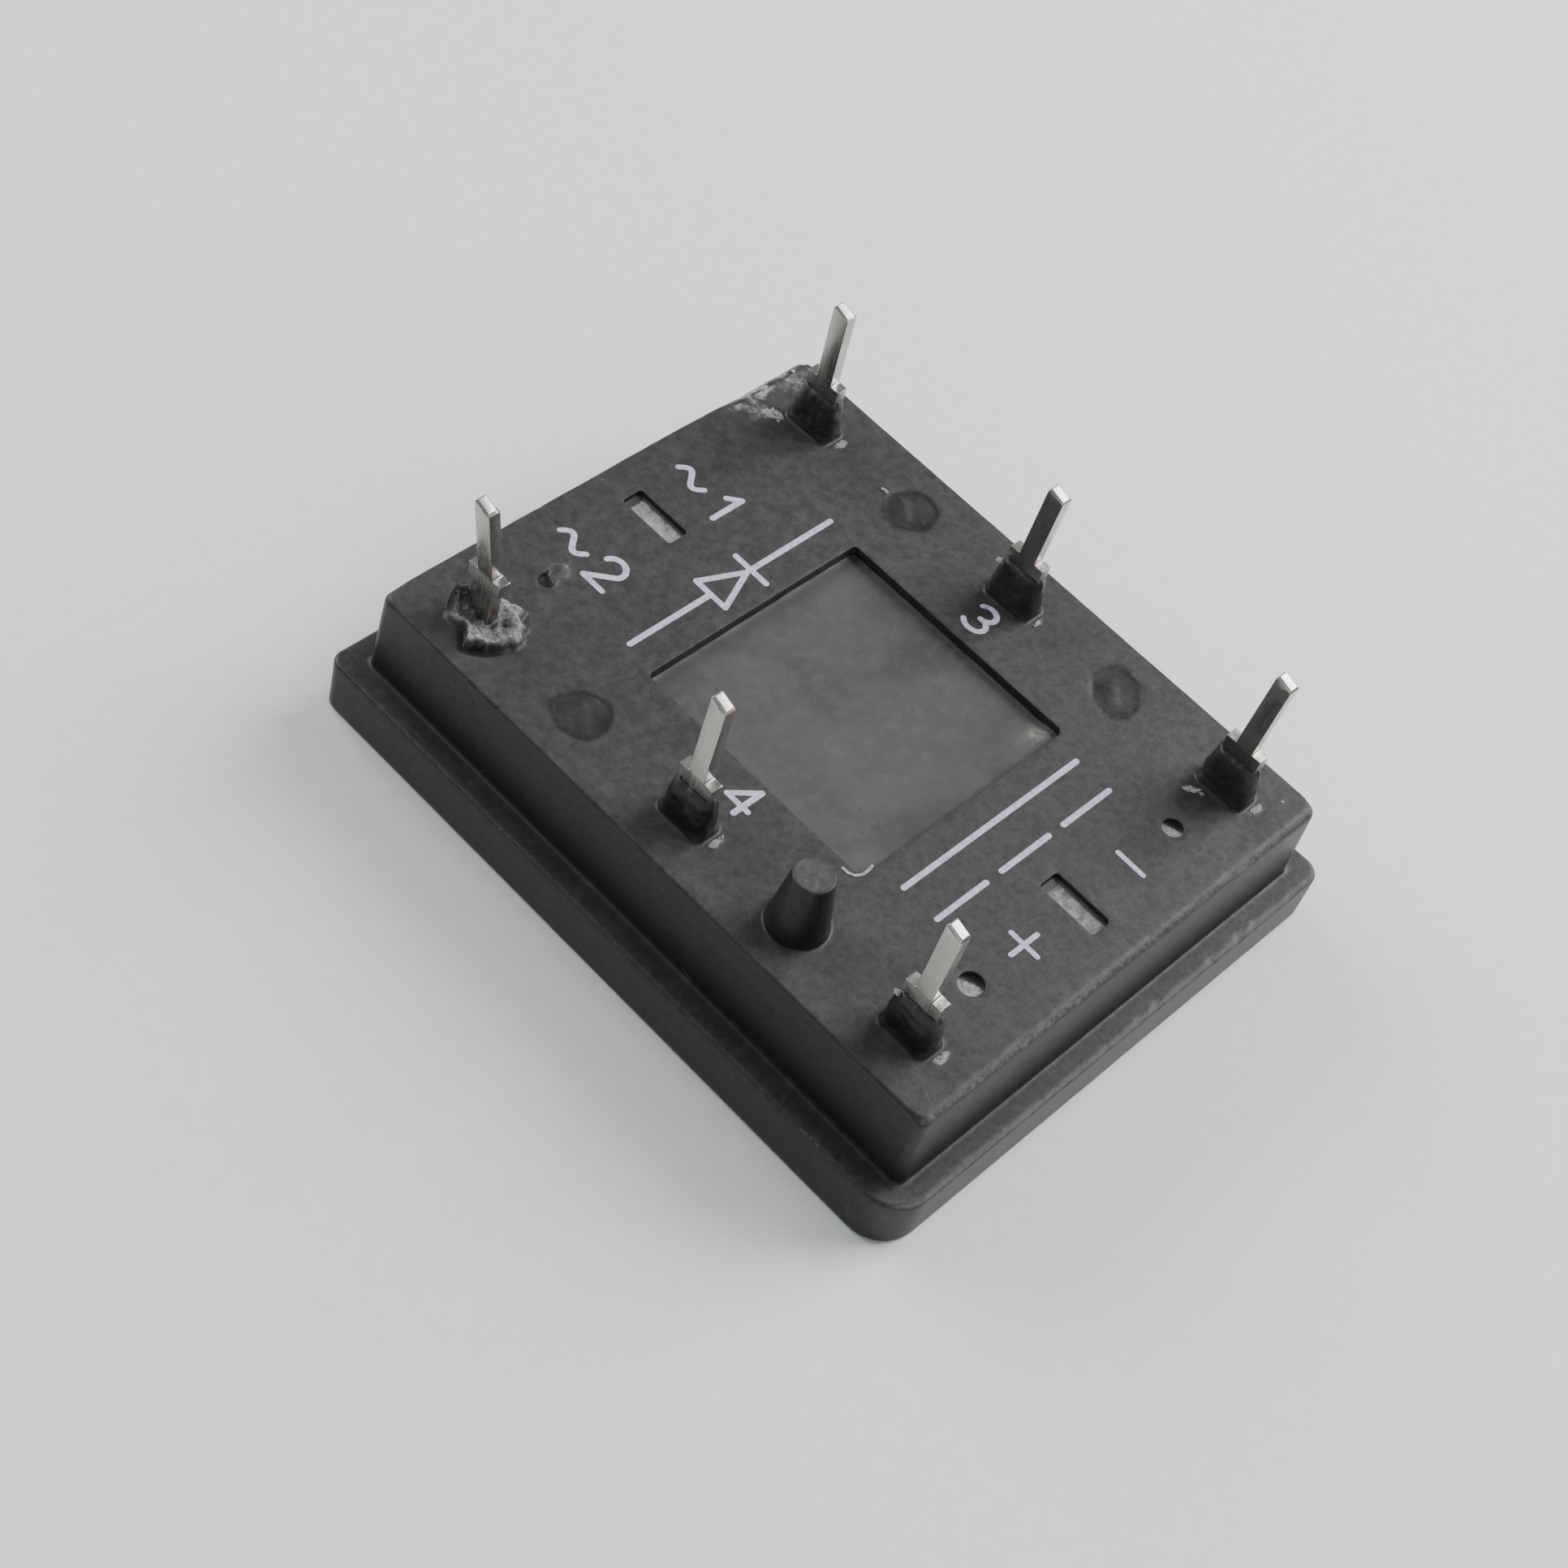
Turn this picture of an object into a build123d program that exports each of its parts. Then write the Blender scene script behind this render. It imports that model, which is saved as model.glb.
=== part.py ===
from build123d import *
import os

# Board-mount power relay module: a potted thyristor and diode bridge in a flanged
# thermoset case, with six flat terminals standing out of moulded collars.
# Frame: origin at the middle of the underside, +Z towards the terminal tips,
# +Y along the case towards the alternating-current terminals, +X towards the
# terminals AC1, gate 1 and minus.

os.makedirs("parts", exist_ok=True)

# ---- driving dimensions (mm) ----
FLANGE_X = 35.5          # flange outline
FLANGE_Y = 43.6
FLANGE_TOP = 3.7         # height of the ledge
FLANGE_R = 0.9           # flange corner radius
KEY_R = 2.4              # larger radius at the corner beside the plus terminal
CASE_BOTTOM = 0.1        # the base plate stands this proud of the case
BODY_X = 32.1            # top face outline
BODY_Y = 40.4
BODY_FOOT_X = 32.4       # outline where the body meets the ledge (mould draft)
BODY_FOOT_Y = 40.7
BODY_R = 0.6             # body corner radius
TOP = 9.3                # top face
ROOF_UNDER = 7.9         # inner side of the top wall
CAVITY_X = 29.0
CAVITY_Y = 37.2
STEP_Z = 2.15            # shelf that the base plate is glued under

WINDOW = 16.0            # square window in the top face
WINDOW_LEVEL = 8.65      # fill level in the window
SLOT_X = 1.4             # filling slots at both ends
SLOT_Y = 3.8
SLOT_LEVEL = 8.95

PIN_X = 12.7             # terminal columns at +-X
ROW_Y = 16.0             # terminal rows at +-Y and at 0
HALF_ROW_Y = 8.0         # blanked positions between the rows

COLLAR_X = 1.9           # terminal collar at the top face, across the strip's thickness
COLLAR_Y = 3.2           # and along its width
COLLAR_R = 0.5
COLLAR_DRAW = 0.35       # size lost over the full height
COLLAR_TOP = 12.1
BROKEN_COLLAR_TOP = 10.5 # the collar of AC2 is broken off short
POST_R = 1.72            # plain round post, no terminal in it
POST_TAPER = 0.137       # radius lost per mm of height
POST_TOP = 13.5

STEM_T = 0.8             # terminal strip thickness, along X
STEM_W = 1.6             # stem width, along Y
SHOULDER_W = 2.4
SHOULDER_TOP = 13.0
PIN_W = 1.15             # width of the free pin
PIN_TIP = 18.4
FOOT_REACH = 3.0
JOG = 1.2

PLATE_X = 32.6           # base plate
PLATE_Y = 40.6
PLATE_T = 2.0

SOLDER_T = 0.1
BASE_CU_X = 28.0
BASE_CU_Y = 36.2
BASE_CU_T = 0.3
CERAMIC_X = 28.6
CERAMIC_Y = 36.8
CERAMIC_T = 0.63
LAND_T = 0.3
PAD_T = 0.08             # solder under chips, straps and feet
CHIP_T = 0.4
THYRISTOR = 6.0
DIODE = 5.0
FREEWHEEL = 5.4
STRAP_T = 0.35
STRAP_W = 2.8
ARCH_Z = 5.1             # underside of the strap arches
WIRE_R = 0.22
GEL_TOP = 6.0

# ---- stack heights ----
Z_BASE_CU = PLATE_T + SOLDER_T
Z_CERAMIC = Z_BASE_CU + BASE_CU_T
Z_LAND = Z_CERAMIC + CERAMIC_T
Z_PAD = Z_LAND + LAND_T
Z_CHIP = Z_PAD + PAD_T
Z_CHIP_TOP = Z_CHIP + CHIP_T
Z_ON_CHIP = Z_CHIP_TOP + PAD_T
Z_FOOT = Z_PAD + PAD_T

# terminal: name, x, y, lean of the tip in x and y over its free length
TERMINALS = [
    ("terminal_ac1", PIN_X, ROW_Y, -0.10, 0.15),
    ("terminal_ac2", -PIN_X, ROW_Y, -0.75, 0.40),
    ("terminal_g1", PIN_X, 0.0, 0.00, -0.20),
    ("terminal_g2", -PIN_X, 0.0, 0.45, 0.25),
    ("terminal_plus", -PIN_X, -ROW_Y, 0.20, -0.05),
    ("terminal_minus", PIN_X, -ROW_Y, 0.45, -0.10),
]

inside = []              # everything that the gel and the potting flow round


def finish(part, name, inner=True):
    part.label = name
    export_step(part, f"parts/{name}.step")
    if inner:
        inside.append(part)


# ---- base plate: nickel-plated copper heat spreader ----
with BuildPart() as base_plate:
    with BuildSketch():
        RectangleRounded(PLATE_X, PLATE_Y, 0.8)
    extrude(amount=PLATE_T)
    chamfer(base_plate.faces().sort_by(Axis.Z)[0].edges(), 0.12)
finish(base_plate.part, "base_plate", inner=False)

# ---- adhesive bead between the plate and the case's shelf ----
with BuildPart() as base_adhesive:
    with BuildSketch(Plane.XY.offset(PLATE_T)):
        RectangleRounded(PLATE_X - 0.2, PLATE_Y - 0.2, 0.7)
        RectangleRounded(CAVITY_X + 0.2, CAVITY_Y + 0.2, 0.8, mode=Mode.SUBTRACT)
    extrude(amount=STEP_Z - PLATE_T)
finish(base_adhesive.part, "base_adhesive", inner=False)

# ---- substrate ----
with BuildPart() as base_solder:
    with BuildSketch(Plane.XY.offset(PLATE_T)):
        RectangleRounded(BASE_CU_X, BASE_CU_Y, 0.4)
    extrude(amount=SOLDER_T)
finish(base_solder.part, "base_solder")

with BuildPart() as substrate_base_copper:
    with BuildSketch(Plane.XY.offset(Z_BASE_CU)):
        RectangleRounded(BASE_CU_X, BASE_CU_Y, 0.4)
    extrude(amount=BASE_CU_T)
finish(substrate_base_copper.part, "substrate_base_copper")

with BuildPart() as ceramic_substrate:
    with BuildSketch(Plane.XY.offset(Z_CERAMIC)):
        Rectangle(CERAMIC_X, CERAMIC_Y)
    extrude(amount=CERAMIC_T)
finish(ceramic_substrate.part, "ceramic_substrate")

# ---- copper lands on the ceramic, 0.8 mm apart ----
LANDS = {
    "land_ac1": [(2.8, 2.8), (13.6, 2.8), (13.6, 17.6), (2.8, 17.6)],
    "land_ac2": [(-13.6, 2.8), (-2.8, 2.8), (-2.8, 17.6), (-13.6, 17.6)],
    "land_gate1": [(9.6, -1.9), (13.6, -1.9), (13.6, 2.0), (9.6, 2.0)],
    "land_gate2": [(-13.6, -1.9), (-9.6, -1.9), (-9.6, 2.0), (-13.6, 2.0)],
    "land_plus": [(-13.6, -17.6), (-2.8, -17.6), (-2.8, 2.0), (-8.8, 2.0), (-8.8, -2.7), (-13.6, -2.7)],
    "land_plus_return": [(2.8, -12.2), (13.6, -12.2), (13.6, -2.7), (8.8, -2.7), (8.8, 2.0), (2.8, 2.0)],
    "land_minus": [(-2.0, -17.6), (13.6, -17.6), (13.6, -13.0), (2.0, -13.0), (2.0, 17.6), (-2.0, 17.6)],
}
for name, outline in LANDS.items():
    with BuildPart() as land:
        with BuildSketch(Plane.XY.offset(Z_LAND)):
            Polygon(*outline, align=None)
        extrude(amount=LAND_T)
        fillet(land.edges().filter_by(Axis.Z), 0.3)
    finish(land.part, name)

# ---- chips and the solder under them ----
CHIPS = {
    "thyristor_chip_1": (6.2, 6.6, THYRISTOR),
    "thyristor_chip_2": (-6.2, 6.6, THYRISTOR),
    "diode_chip_1": (6.0, 13.9, DIODE),
    "diode_chip_2": (-6.0, 13.9, DIODE),
    "freewheel_diode_chip": (-6.0, -9.0, FREEWHEEL),
}
for name, (x, y, side) in CHIPS.items():
    with BuildPart() as chip:
        with BuildSketch(Plane.XY.offset(Z_CHIP)):
            with Locations((x, y)):
                Rectangle(side, side)
        extrude(amount=CHIP_T)
        # sawn and etched edge: the upper rim is bevelled
        chamfer(chip.faces().sort_by(Axis.Z)[-1].edges(), 0.12)
    finish(chip.part, name)

with BuildPart() as chip_solder:
    with BuildSketch(Plane.XY.offset(Z_PAD)):
        for x, y, side in CHIPS.values():
            with Locations((x, y)):
                RectangleRounded(side + 0.3, side + 0.3, 0.3)
    extrude(amount=PAD_T)
finish(chip_solder.part, "chip_solder")

# ---- copper straps, each an arch from a chip or a land to another land ----
# name: start point, direction along the strap, span, start height
STRAPS = {
    "cathode_strap_1": ((6.2, 7.4), (0, -1), 7.0, Z_ON_CHIP),
    "cathode_strap_2": ((-6.2, 7.4), (0, -1), 7.0, Z_ON_CHIP),
    "anode_strap_1": ((6.9, 13.9), (-1, 0), 6.0, Z_ON_CHIP),
    "anode_strap_2": ((-6.9, 13.9), (1, 0), 6.0, Z_ON_CHIP),
    "freewheel_strap": ((-6.9, -9.0), (1, 0), 6.0, Z_ON_CHIP),
    "plus_bridge_strap": ((-5.0, -4.6), (1, 0), 10.0, Z_FOOT),
}
START_PAD = 2.4          # length soldered at the start
END_PAD = 1.4            # length soldered at the end
for name, ((x, y), (dx, dy), span, z0) in STRAPS.items():
    end_pad = START_PAD if name == "plus_bridge_strap" else END_PAD
    side_plane = Plane(origin=(x, y, 0), x_dir=(dx, dy, 0), z_dir=(dy, -dx, 0))
    with BuildPart() as strap:
        with BuildSketch(side_plane):
            with BuildLine():
                Polyline(
                    (0, z0),
                    (START_PAD, z0),
                    (START_PAD + 0.5, ARCH_Z),
                    (span - end_pad - 0.5, ARCH_Z),
                    (span - end_pad, Z_FOOT),
                    (span, Z_FOOT),
                    (span, Z_FOOT + STRAP_T),
                    (span - end_pad + 0.28, Z_FOOT + STRAP_T),
                    (span - end_pad - 0.22, ARCH_Z + STRAP_T),
                    (START_PAD + 0.22, ARCH_Z + STRAP_T),
                    (START_PAD - 0.28, z0 + STRAP_T),
                    (0, z0 + STRAP_T),
                    close=True,
                )
            make_face()
        extrude(amount=STRAP_W / 2, both=True)
    finish(strap.part, name)

with BuildPart() as strap_solder:
    for name, ((x, y), (dx, dy), span, z0) in STRAPS.items():
        end_pad = START_PAD if name == "plus_bridge_strap" else END_PAD
        for along, length, z in ((START_PAD / 2, START_PAD, z0), (span - end_pad / 2, end_pad, Z_FOOT)):
            width_x = abs(dx) * length + abs(dy) * STRAP_W
            width_y = abs(dy) * length + abs(dx) * STRAP_W
            with BuildSketch(Plane.XY.offset(z - PAD_T)):
                with Locations((x + dx * along, y + dy * along)):
                    Rectangle(width_x, width_y)
            extrude(amount=PAD_T)
finish(strap_solder.part, "strap_solder")

# ---- gate wires, from a corner of each thyristor chip to its gate land ----
for name, side in (("gate_wire_1", 1), ("gate_wire_2", -1)):
    with BuildPart() as gate_wire:
        with BuildLine() as route:
            FilletPolyline(
                (side * 8.5, 4.4, Z_CHIP_TOP),
                (side * 8.5, 4.4, 4.9),
                (side * 10.6, 1.2, 4.9),
                (side * 10.6, 1.2, Z_PAD),
                radius=0.45,
            )
        with BuildSketch(Plane(origin=(side * 8.5, 4.4, Z_CHIP_TOP), z_dir=(0, 0, 1))):
            Circle(WIRE_R)
        sweep()
    finish(gate_wire.part, name)

# ---- terminals: cut from strip, with a soldered foot, a jog that takes up
# expansion, a wider shoulder that sits on the collar, and the free pin ----
for name, x, y, lean_x, lean_y in TERMINALS:
    out = 1 if x > 0 else -1
    with BuildPart() as terminal:
        with BuildSketch(Plane(origin=(x, y, 0), x_dir=(out, 0, 0), z_dir=(0, -out, 0))):
            with BuildLine():
                Polyline(
                    (STEM_T / 2, COLLAR_TOP),
                    (-STEM_T / 2, COLLAR_TOP),
                    (-STEM_T / 2, 6.77),
                    (-STEM_T / 2 - JOG, 5.57),
                    (-STEM_T / 2 - JOG, Z_FOOT + 0.7),
                    (-FOOT_REACH, Z_FOOT + 0.7),
                    (-FOOT_REACH, Z_FOOT),
                    (STEM_T / 2 - JOG, Z_FOOT),
                    (STEM_T / 2 - JOG, 5.24),
                    (STEM_T / 2, 6.44),
                    close=True,
                )
            make_face()
        extrude(amount=STEM_W / 2, both=True)
        with BuildSketch(Plane.XY.offset(COLLAR_TOP)):
            with Locations((x, y)):
                Rectangle(STEM_T, SHOULDER_W)
        extrude(amount=SHOULDER_TOP - COLLAR_TOP)
        with BuildSketch(Plane.XY.offset(SHOULDER_TOP)):
            with Locations((x, y)):
                Rectangle(STEM_T, PIN_W)
        with BuildSketch(Plane.XY.offset(PIN_TIP)):
            with Locations((x + lean_x, y + lean_y)):
                Rectangle(STEM_T, PIN_W)
        loft()
        chamfer(terminal.faces().sort_by(Axis.Z)[-1].edges(), 0.12)
    finish(terminal.part, name)

with BuildPart() as terminal_solder:
    for name, x, y, lean_x, lean_y in TERMINALS:
        out = 1 if x > 0 else -1
        middle = x - out * (FOOT_REACH + JOG - STEM_T / 2) / 2
        with BuildSketch(Plane.XY.offset(Z_PAD)):
            with Locations((middle, y)):
                RectangleRounded(FOOT_REACH - JOG + STEM_T / 2 + 0.3, STEM_W + 0.3, 0.2)
        extrude(amount=PAD_T)
finish(terminal_solder.part, "terminal_solder")

# ---- case ----
with BuildPart() as case:
    # flange
    with BuildSketch(Plane.XY.offset(CASE_BOTTOM)) as flange:
        Rectangle(FLANGE_X, FLANGE_Y)
        corners = flange.vertices().sort_by(lambda v: v.X + v.Y)
        fillet(corners[0], KEY_R)
        fillet(corners[1:], FLANGE_R)
    extrude(amount=FLANGE_TOP - CASE_BOTTOM)
    fillet(case.faces().sort_by(Axis.Z)[-1].edges(), 0.25)
    chamfer(case.faces().sort_by(Axis.Z)[0].edges(), 0.1)
    # body, drawn in towards the top
    with BuildSketch(Plane.XY.offset(FLANGE_TOP)):
        RectangleRounded(BODY_FOOT_X, BODY_FOOT_Y, BODY_R)
    with BuildSketch(Plane.XY.offset(TOP)):
        RectangleRounded(BODY_X, BODY_Y, BODY_R)
    loft()
    fillet(case.faces().sort_by(Axis.Z)[-1].edges(), 0.22)
    # collars drawn in towards their tops, moulded round the terminals
    for x, y, height in [
        (PIN_X, ROW_Y, COLLAR_TOP),
        (PIN_X, 0, COLLAR_TOP),
        (PIN_X, -ROW_Y, COLLAR_TOP),
        (-PIN_X, 0, COLLAR_TOP),
        (-PIN_X, -ROW_Y, COLLAR_TOP),
        (-PIN_X, ROW_Y, BROKEN_COLLAR_TOP),
    ]:
        lost = COLLAR_DRAW * (height - TOP) / (COLLAR_TOP - TOP)
        with BuildSketch(Plane.XY.offset(TOP)):
            with Locations((x, y)):
                RectangleRounded(COLLAR_X, COLLAR_Y, COLLAR_R)
        with BuildSketch(Plane.XY.offset(height)):
            with Locations((x, y)):
                RectangleRounded(COLLAR_X - lost, COLLAR_Y - lost, COLLAR_R)
        loft()
    # the plain post
    with Locations((-PIN_X, -HALF_ROW_Y, TOP)):
        rise = POST_TOP - TOP
        Cone(POST_R, POST_R - POST_TAPER * rise, rise, align=(Align.CENTER, Align.CENTER, Align.MIN))
    # cavity, and the recess that takes the base plate
    with BuildSketch(Plane.XY):
        RectangleRounded(PLATE_X + 0.2, PLATE_Y + 0.2, 0.9)
    extrude(amount=STEP_Z, mode=Mode.SUBTRACT)
    with BuildSketch(Plane.XY.offset(STEP_Z)):
        RectangleRounded(CAVITY_X, CAVITY_Y, 0.8)
    extrude(amount=ROOF_UNDER - STEP_Z, mode=Mode.SUBTRACT)
    # square window and filling slots, right through the roof
    with BuildSketch(Plane.XY.offset(ROOF_UNDER)):
        RectangleRounded(WINDOW, WINDOW, 0.3)
        with Locations((0, ROW_Y), (0, -ROW_Y)):
            RectangleRounded(SLOT_X, SLOT_Y, 0.2)
    extrude(amount=TOP - ROOF_UNDER, mode=Mode.SUBTRACT)
    # terminal holes, moulded tight on the stems
    with BuildSketch(Plane.XY.offset(ROOF_UNDER)):
        with Locations(*[(x, y) for _, x, y, _, _ in TERMINALS]):
            Rectangle(STEM_T, STEM_W)
    extrude(amount=COLLAR_TOP - ROOF_UNDER, mode=Mode.SUBTRACT)
    # mould dimples in the end rows
    with BuildSketch(Plane.XY.offset(TOP)):
        with Locations((8.15, -ROW_Y)):
            Circle(0.6)
        with Locations((-8.1, -ROW_Y)):
            Circle(0.72)
        with Locations((-7.7, ROW_Y)):
            Circle(0.5)
    extrude(amount=-0.3, mode=Mode.SUBTRACT)
    # faint round marks at the blanked terminal positions
    with BuildSketch(Plane.XY.offset(TOP)):
        with Locations((PIN_X, HALF_ROW_Y), (PIN_X, -HALF_ROW_Y), (-PIN_X, HALF_ROW_Y)):
            Circle(1.5)
    extrude(amount=-0.05, mode=Mode.SUBTRACT)
finish(case.part, "case", inner=False)

# ---- soft gel round the chips ----
with BuildPart() as silicone_gel:
    with BuildSketch(Plane.XY.offset(PLATE_T)):
        RectangleRounded(CAVITY_X, CAVITY_Y, 0.8)
    extrude(amount=GEL_TOP - PLATE_T)
    for piece in inside:
        add(piece, mode=Mode.SUBTRACT)
finish(silicone_gel.part, "silicone_gel", inner=False)

# ---- cast epoxy above the gel, up through the window and the slots ----
with BuildPart() as epoxy_potting:
    with BuildSketch(Plane.XY.offset(GEL_TOP)):
        RectangleRounded(CAVITY_X, CAVITY_Y, 0.8)
    extrude(amount=ROOF_UNDER - GEL_TOP)
    with BuildSketch(Plane.XY.offset(ROOF_UNDER)):
        RectangleRounded(WINDOW, WINDOW, 0.3)
    extrude(amount=WINDOW_LEVEL - ROOF_UNDER)
    with BuildSketch(Plane.XY.offset(ROOF_UNDER)):
        with Locations((0, ROW_Y), (0, -ROW_Y)):
            RectangleRounded(SLOT_X, SLOT_Y, 0.2)
    extrude(amount=SLOT_LEVEL - ROOF_UNDER)
    for piece in inside:
        if piece.label.startswith("terminal_") and piece.label != "terminal_solder":
            add(piece, mode=Mode.SUBTRACT)
finish(epoxy_potting.part, "epoxy_potting", inner=False)
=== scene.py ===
import bmesh
import bpy
import math
import random
from mathutils import Matrix, Vector, noise
from mathutils.geometry import delaunay_2d_cdt


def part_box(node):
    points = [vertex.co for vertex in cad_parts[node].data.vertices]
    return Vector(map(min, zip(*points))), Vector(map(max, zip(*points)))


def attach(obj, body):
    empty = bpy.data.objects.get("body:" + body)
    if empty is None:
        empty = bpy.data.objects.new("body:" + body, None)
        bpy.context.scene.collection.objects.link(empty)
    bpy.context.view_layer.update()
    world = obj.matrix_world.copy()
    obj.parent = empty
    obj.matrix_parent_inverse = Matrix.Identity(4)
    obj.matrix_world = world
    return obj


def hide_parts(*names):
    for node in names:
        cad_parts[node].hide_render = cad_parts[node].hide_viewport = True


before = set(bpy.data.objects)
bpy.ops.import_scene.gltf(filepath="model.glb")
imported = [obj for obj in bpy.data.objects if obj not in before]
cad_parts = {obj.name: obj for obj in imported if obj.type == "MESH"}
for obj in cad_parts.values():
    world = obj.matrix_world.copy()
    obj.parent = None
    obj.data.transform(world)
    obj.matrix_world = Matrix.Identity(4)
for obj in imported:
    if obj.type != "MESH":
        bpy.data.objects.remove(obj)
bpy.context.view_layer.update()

random.seed(4207)

# Lengths below are in millimetres. They become metres when a mesh is made.
MM = 0.001


def cad(node):
    lo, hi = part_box(node)
    return [v / MM for v in lo], [v / MM for v in hi]


case_lo, case_hi = cad("case")
plate_lo, plate_hi = cad("base_plate")
glue_lo, glue_hi = cad("base_adhesive")
gel_lo, gel_hi = cad("silicone_gel")
pot_lo, pot_hi = cad("epoxy_potting")

FLANGE_HX, FLANGE_HY = case_hi[0], case_hi[1]
CASE_Z0 = case_lo[2]
LEDGE = 3.7
FOOT_HX, FOOT_HY = FLANGE_HX - 1.55, FLANGE_HY - 1.45
TOP_HX, TOP_HY = FLANGE_HX - 1.70, FLANGE_HY - 1.60
TOP = 9.3
ROOF = pot_hi[2] - 1.05
CAV_HX, CAV_HY = gel_hi[0], gel_hi[1]
SHELF = glue_hi[2]
PLATE_HX, PLATE_HY, PLATE_TOP = plate_hi[0], plate_hi[1], plate_hi[2]
REC_HX, REC_HY = PLATE_HX + 0.1, PLATE_HY + 0.1
GEL_TOP = gel_hi[2]
WINDOW = 8.0
WINDOW_LEVEL = pot_hi[2] - 0.30
SLOT_LEVEL = pot_hi[2]
SLOTS = [(0.0, 16.0), (0.0, -16.0)]
COLLARS = [  # x, y, height of the moulded collar
    (12.7, 16.0, 12.1), (12.7, 0.0, 12.1), (12.7, -16.0, 12.1),
    (-12.7, 0.0, 12.1), (-12.7, -16.0, 12.1),
]
BROKEN = (-12.7, 16.0, 10.5)
COLLAR_HX, COLLAR_HY, COLLAR_R, COLLAR_DRAW = 0.95, 1.60, 0.5, 0.0625
POST = (-12.7, -8.0, 13.5)
DIMPLES = [(8.15, -16.0, 0.60), (-8.1, -16.0, 0.72)]
TORN = (-7.7, 16.0, 0.5)
BLANKS = [(12.7, 8.0), (12.7, -8.0), (-12.7, 8.0)]


# ---------------------------------------------------------------- helpers
def n3(x, y, z, s, seed=0.0):
    return noise.noise(Vector((x * s + seed, y * s - 0.7 * seed, z * s + 1.3 * seed)))


def fbm(x, y, z, s, octaves=4, seed=0.0):
    t, a, f, tot = 0.0, 1.0, s, 0.0
    for k in range(octaves):
        t += a * n3(x, y, z, f, seed + 11.3 * k)
        tot += a
        a *= 0.5
        f *= 2.03
    return t / tot


def smooth(a, b, x):
    t = max(0.0, min(1.0, (x - a) / (b - a)))
    return t * t * (3 - 2 * t)


def lerp(a, b, t):
    return a + (b - a) * t


def sd_box(x, y, hx, hy, r, cx=0.0, cy=0.0):
    qx, qy = abs(x - cx) - hx + r, abs(y - cy) - hy + r
    return math.hypot(max(qx, 0), max(qy, 0)) + min(max(qx, qy), 0) - r


def sd_circle(x, y, cx, cy, r):
    return math.hypot(x - cx, y - cy) - r


CHANNELS = ("wear", "rubble", "stain", "gloss", "pale")


class Shell:
    """Vertices in millimetres, faces, and painted masks, gathered loop by loop."""

    def __init__(self):
        self.v, self.f = [], []
        self.a = {c: [] for c in CHANNELS}
        self.fixed = set()

    def add(self, pts, **paint):
        first = len(self.v)
        self.v += [tuple(p) for p in pts]
        for c in CHANNELS:
            val = paint.get(c, 0.0)
            self.a[c] += list(val) if isinstance(val, (list, tuple)) else [val] * len(pts)
        return list(range(first, len(self.v)))

    def strip(self, a, b, flip=False):
        n = len(a)
        for i in range(n):
            j = (i + 1) % n
            q = (a[i], a[j], b[j], b[i])
            self.f.append(q[::-1] if flip else q)

    def cap(self, loop, centre, flip=False, **paint):
        c = self.add([centre], **paint)[0]
        n = len(loop)
        for i in range(n):
            t = (loop[i], loop[(i + 1) % n], c)
            self.f.append(t[::-1] if flip else t)

    def fill(self, loops, inner, z, keep, flip=False, **paint):
        """Triangulates the flat region bounded by loops, using the given inner points."""
        ids = [i for loop in loops for i in loop]
        co = [Vector(self.v[i][:2]) for i in ids]
        edges, k = [], 0
        for loop in loops:
            n = len(loop)
            edges += [(k + i, k + (i + 1) % n) for i in range(n)]
            k += n
        zz = z if callable(z) else (lambda x, y: z)
        ids += self.add([(x, y, zz(x, y)) for x, y in inner], **paint)
        co += [Vector(p) for p in inner]
        vs, _, fs, ov, _, _ = delaunay_2d_cdt(co, edges, [], 0, 1e-6, True)
        for t in fs:
            cx = sum(vs[i][0] for i in t) / 3
            cy = sum(vs[i][1] for i in t) / 3
            if not keep(cx, cy):
                continue
            q = tuple(ids[ov[i][0]] for i in t)
            area = (vs[t[1]][0] - vs[t[0]][0]) * (vs[t[2]][1] - vs[t[0]][1]) - (vs[t[2]][0] - vs[t[0]][0]) * (vs[t[1]][1] - vs[t[0]][1])
            if abs(area) < 1e-12:
                continue
            up = area > 0
            self.f.append(q if up != flip else q[::-1])

    def object(self, name, shade=True, merge=0.0):
        me = bpy.data.meshes.new(name)
        me.from_pydata([(x * MM, y * MM, z * MM) for x, y, z in self.v], [], self.f)
        for c in CHANNELS:
            at = me.attributes.new(c, "FLOAT", "POINT")
            at.data.foreach_set("value", self.a[c])
        bm = bmesh.new()
        bm.from_mesh(me)
        if merge:
            bmesh.ops.remove_doubles(bm, verts=bm.verts, dist=merge * MM)
        loose = [v for v in bm.verts if not v.link_faces]
        bmesh.ops.delete(bm, geom=loose, context="VERTS")
        bmesh.ops.recalc_face_normals(bm, faces=bm.faces)
        bm.to_mesh(me)
        bm.free()
        me.validate()
        if shade:
            me.polygons.foreach_set("use_smooth", [True] * len(me.polygons))
        me.update()
        o = bpy.data.objects.new(name, me)
        bpy.context.scene.collection.objects.link(o)
        return o


def sharp_by_angle(o, degrees):
    bm = bmesh.new()
    bm.from_mesh(o.data)
    lim = math.radians(degrees)
    for e in bm.edges:
        if len(e.link_faces) == 2:
            e.smooth = e.calc_face_angle(0) < lim
    bm.to_mesh(o.data)
    bm.free()


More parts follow.
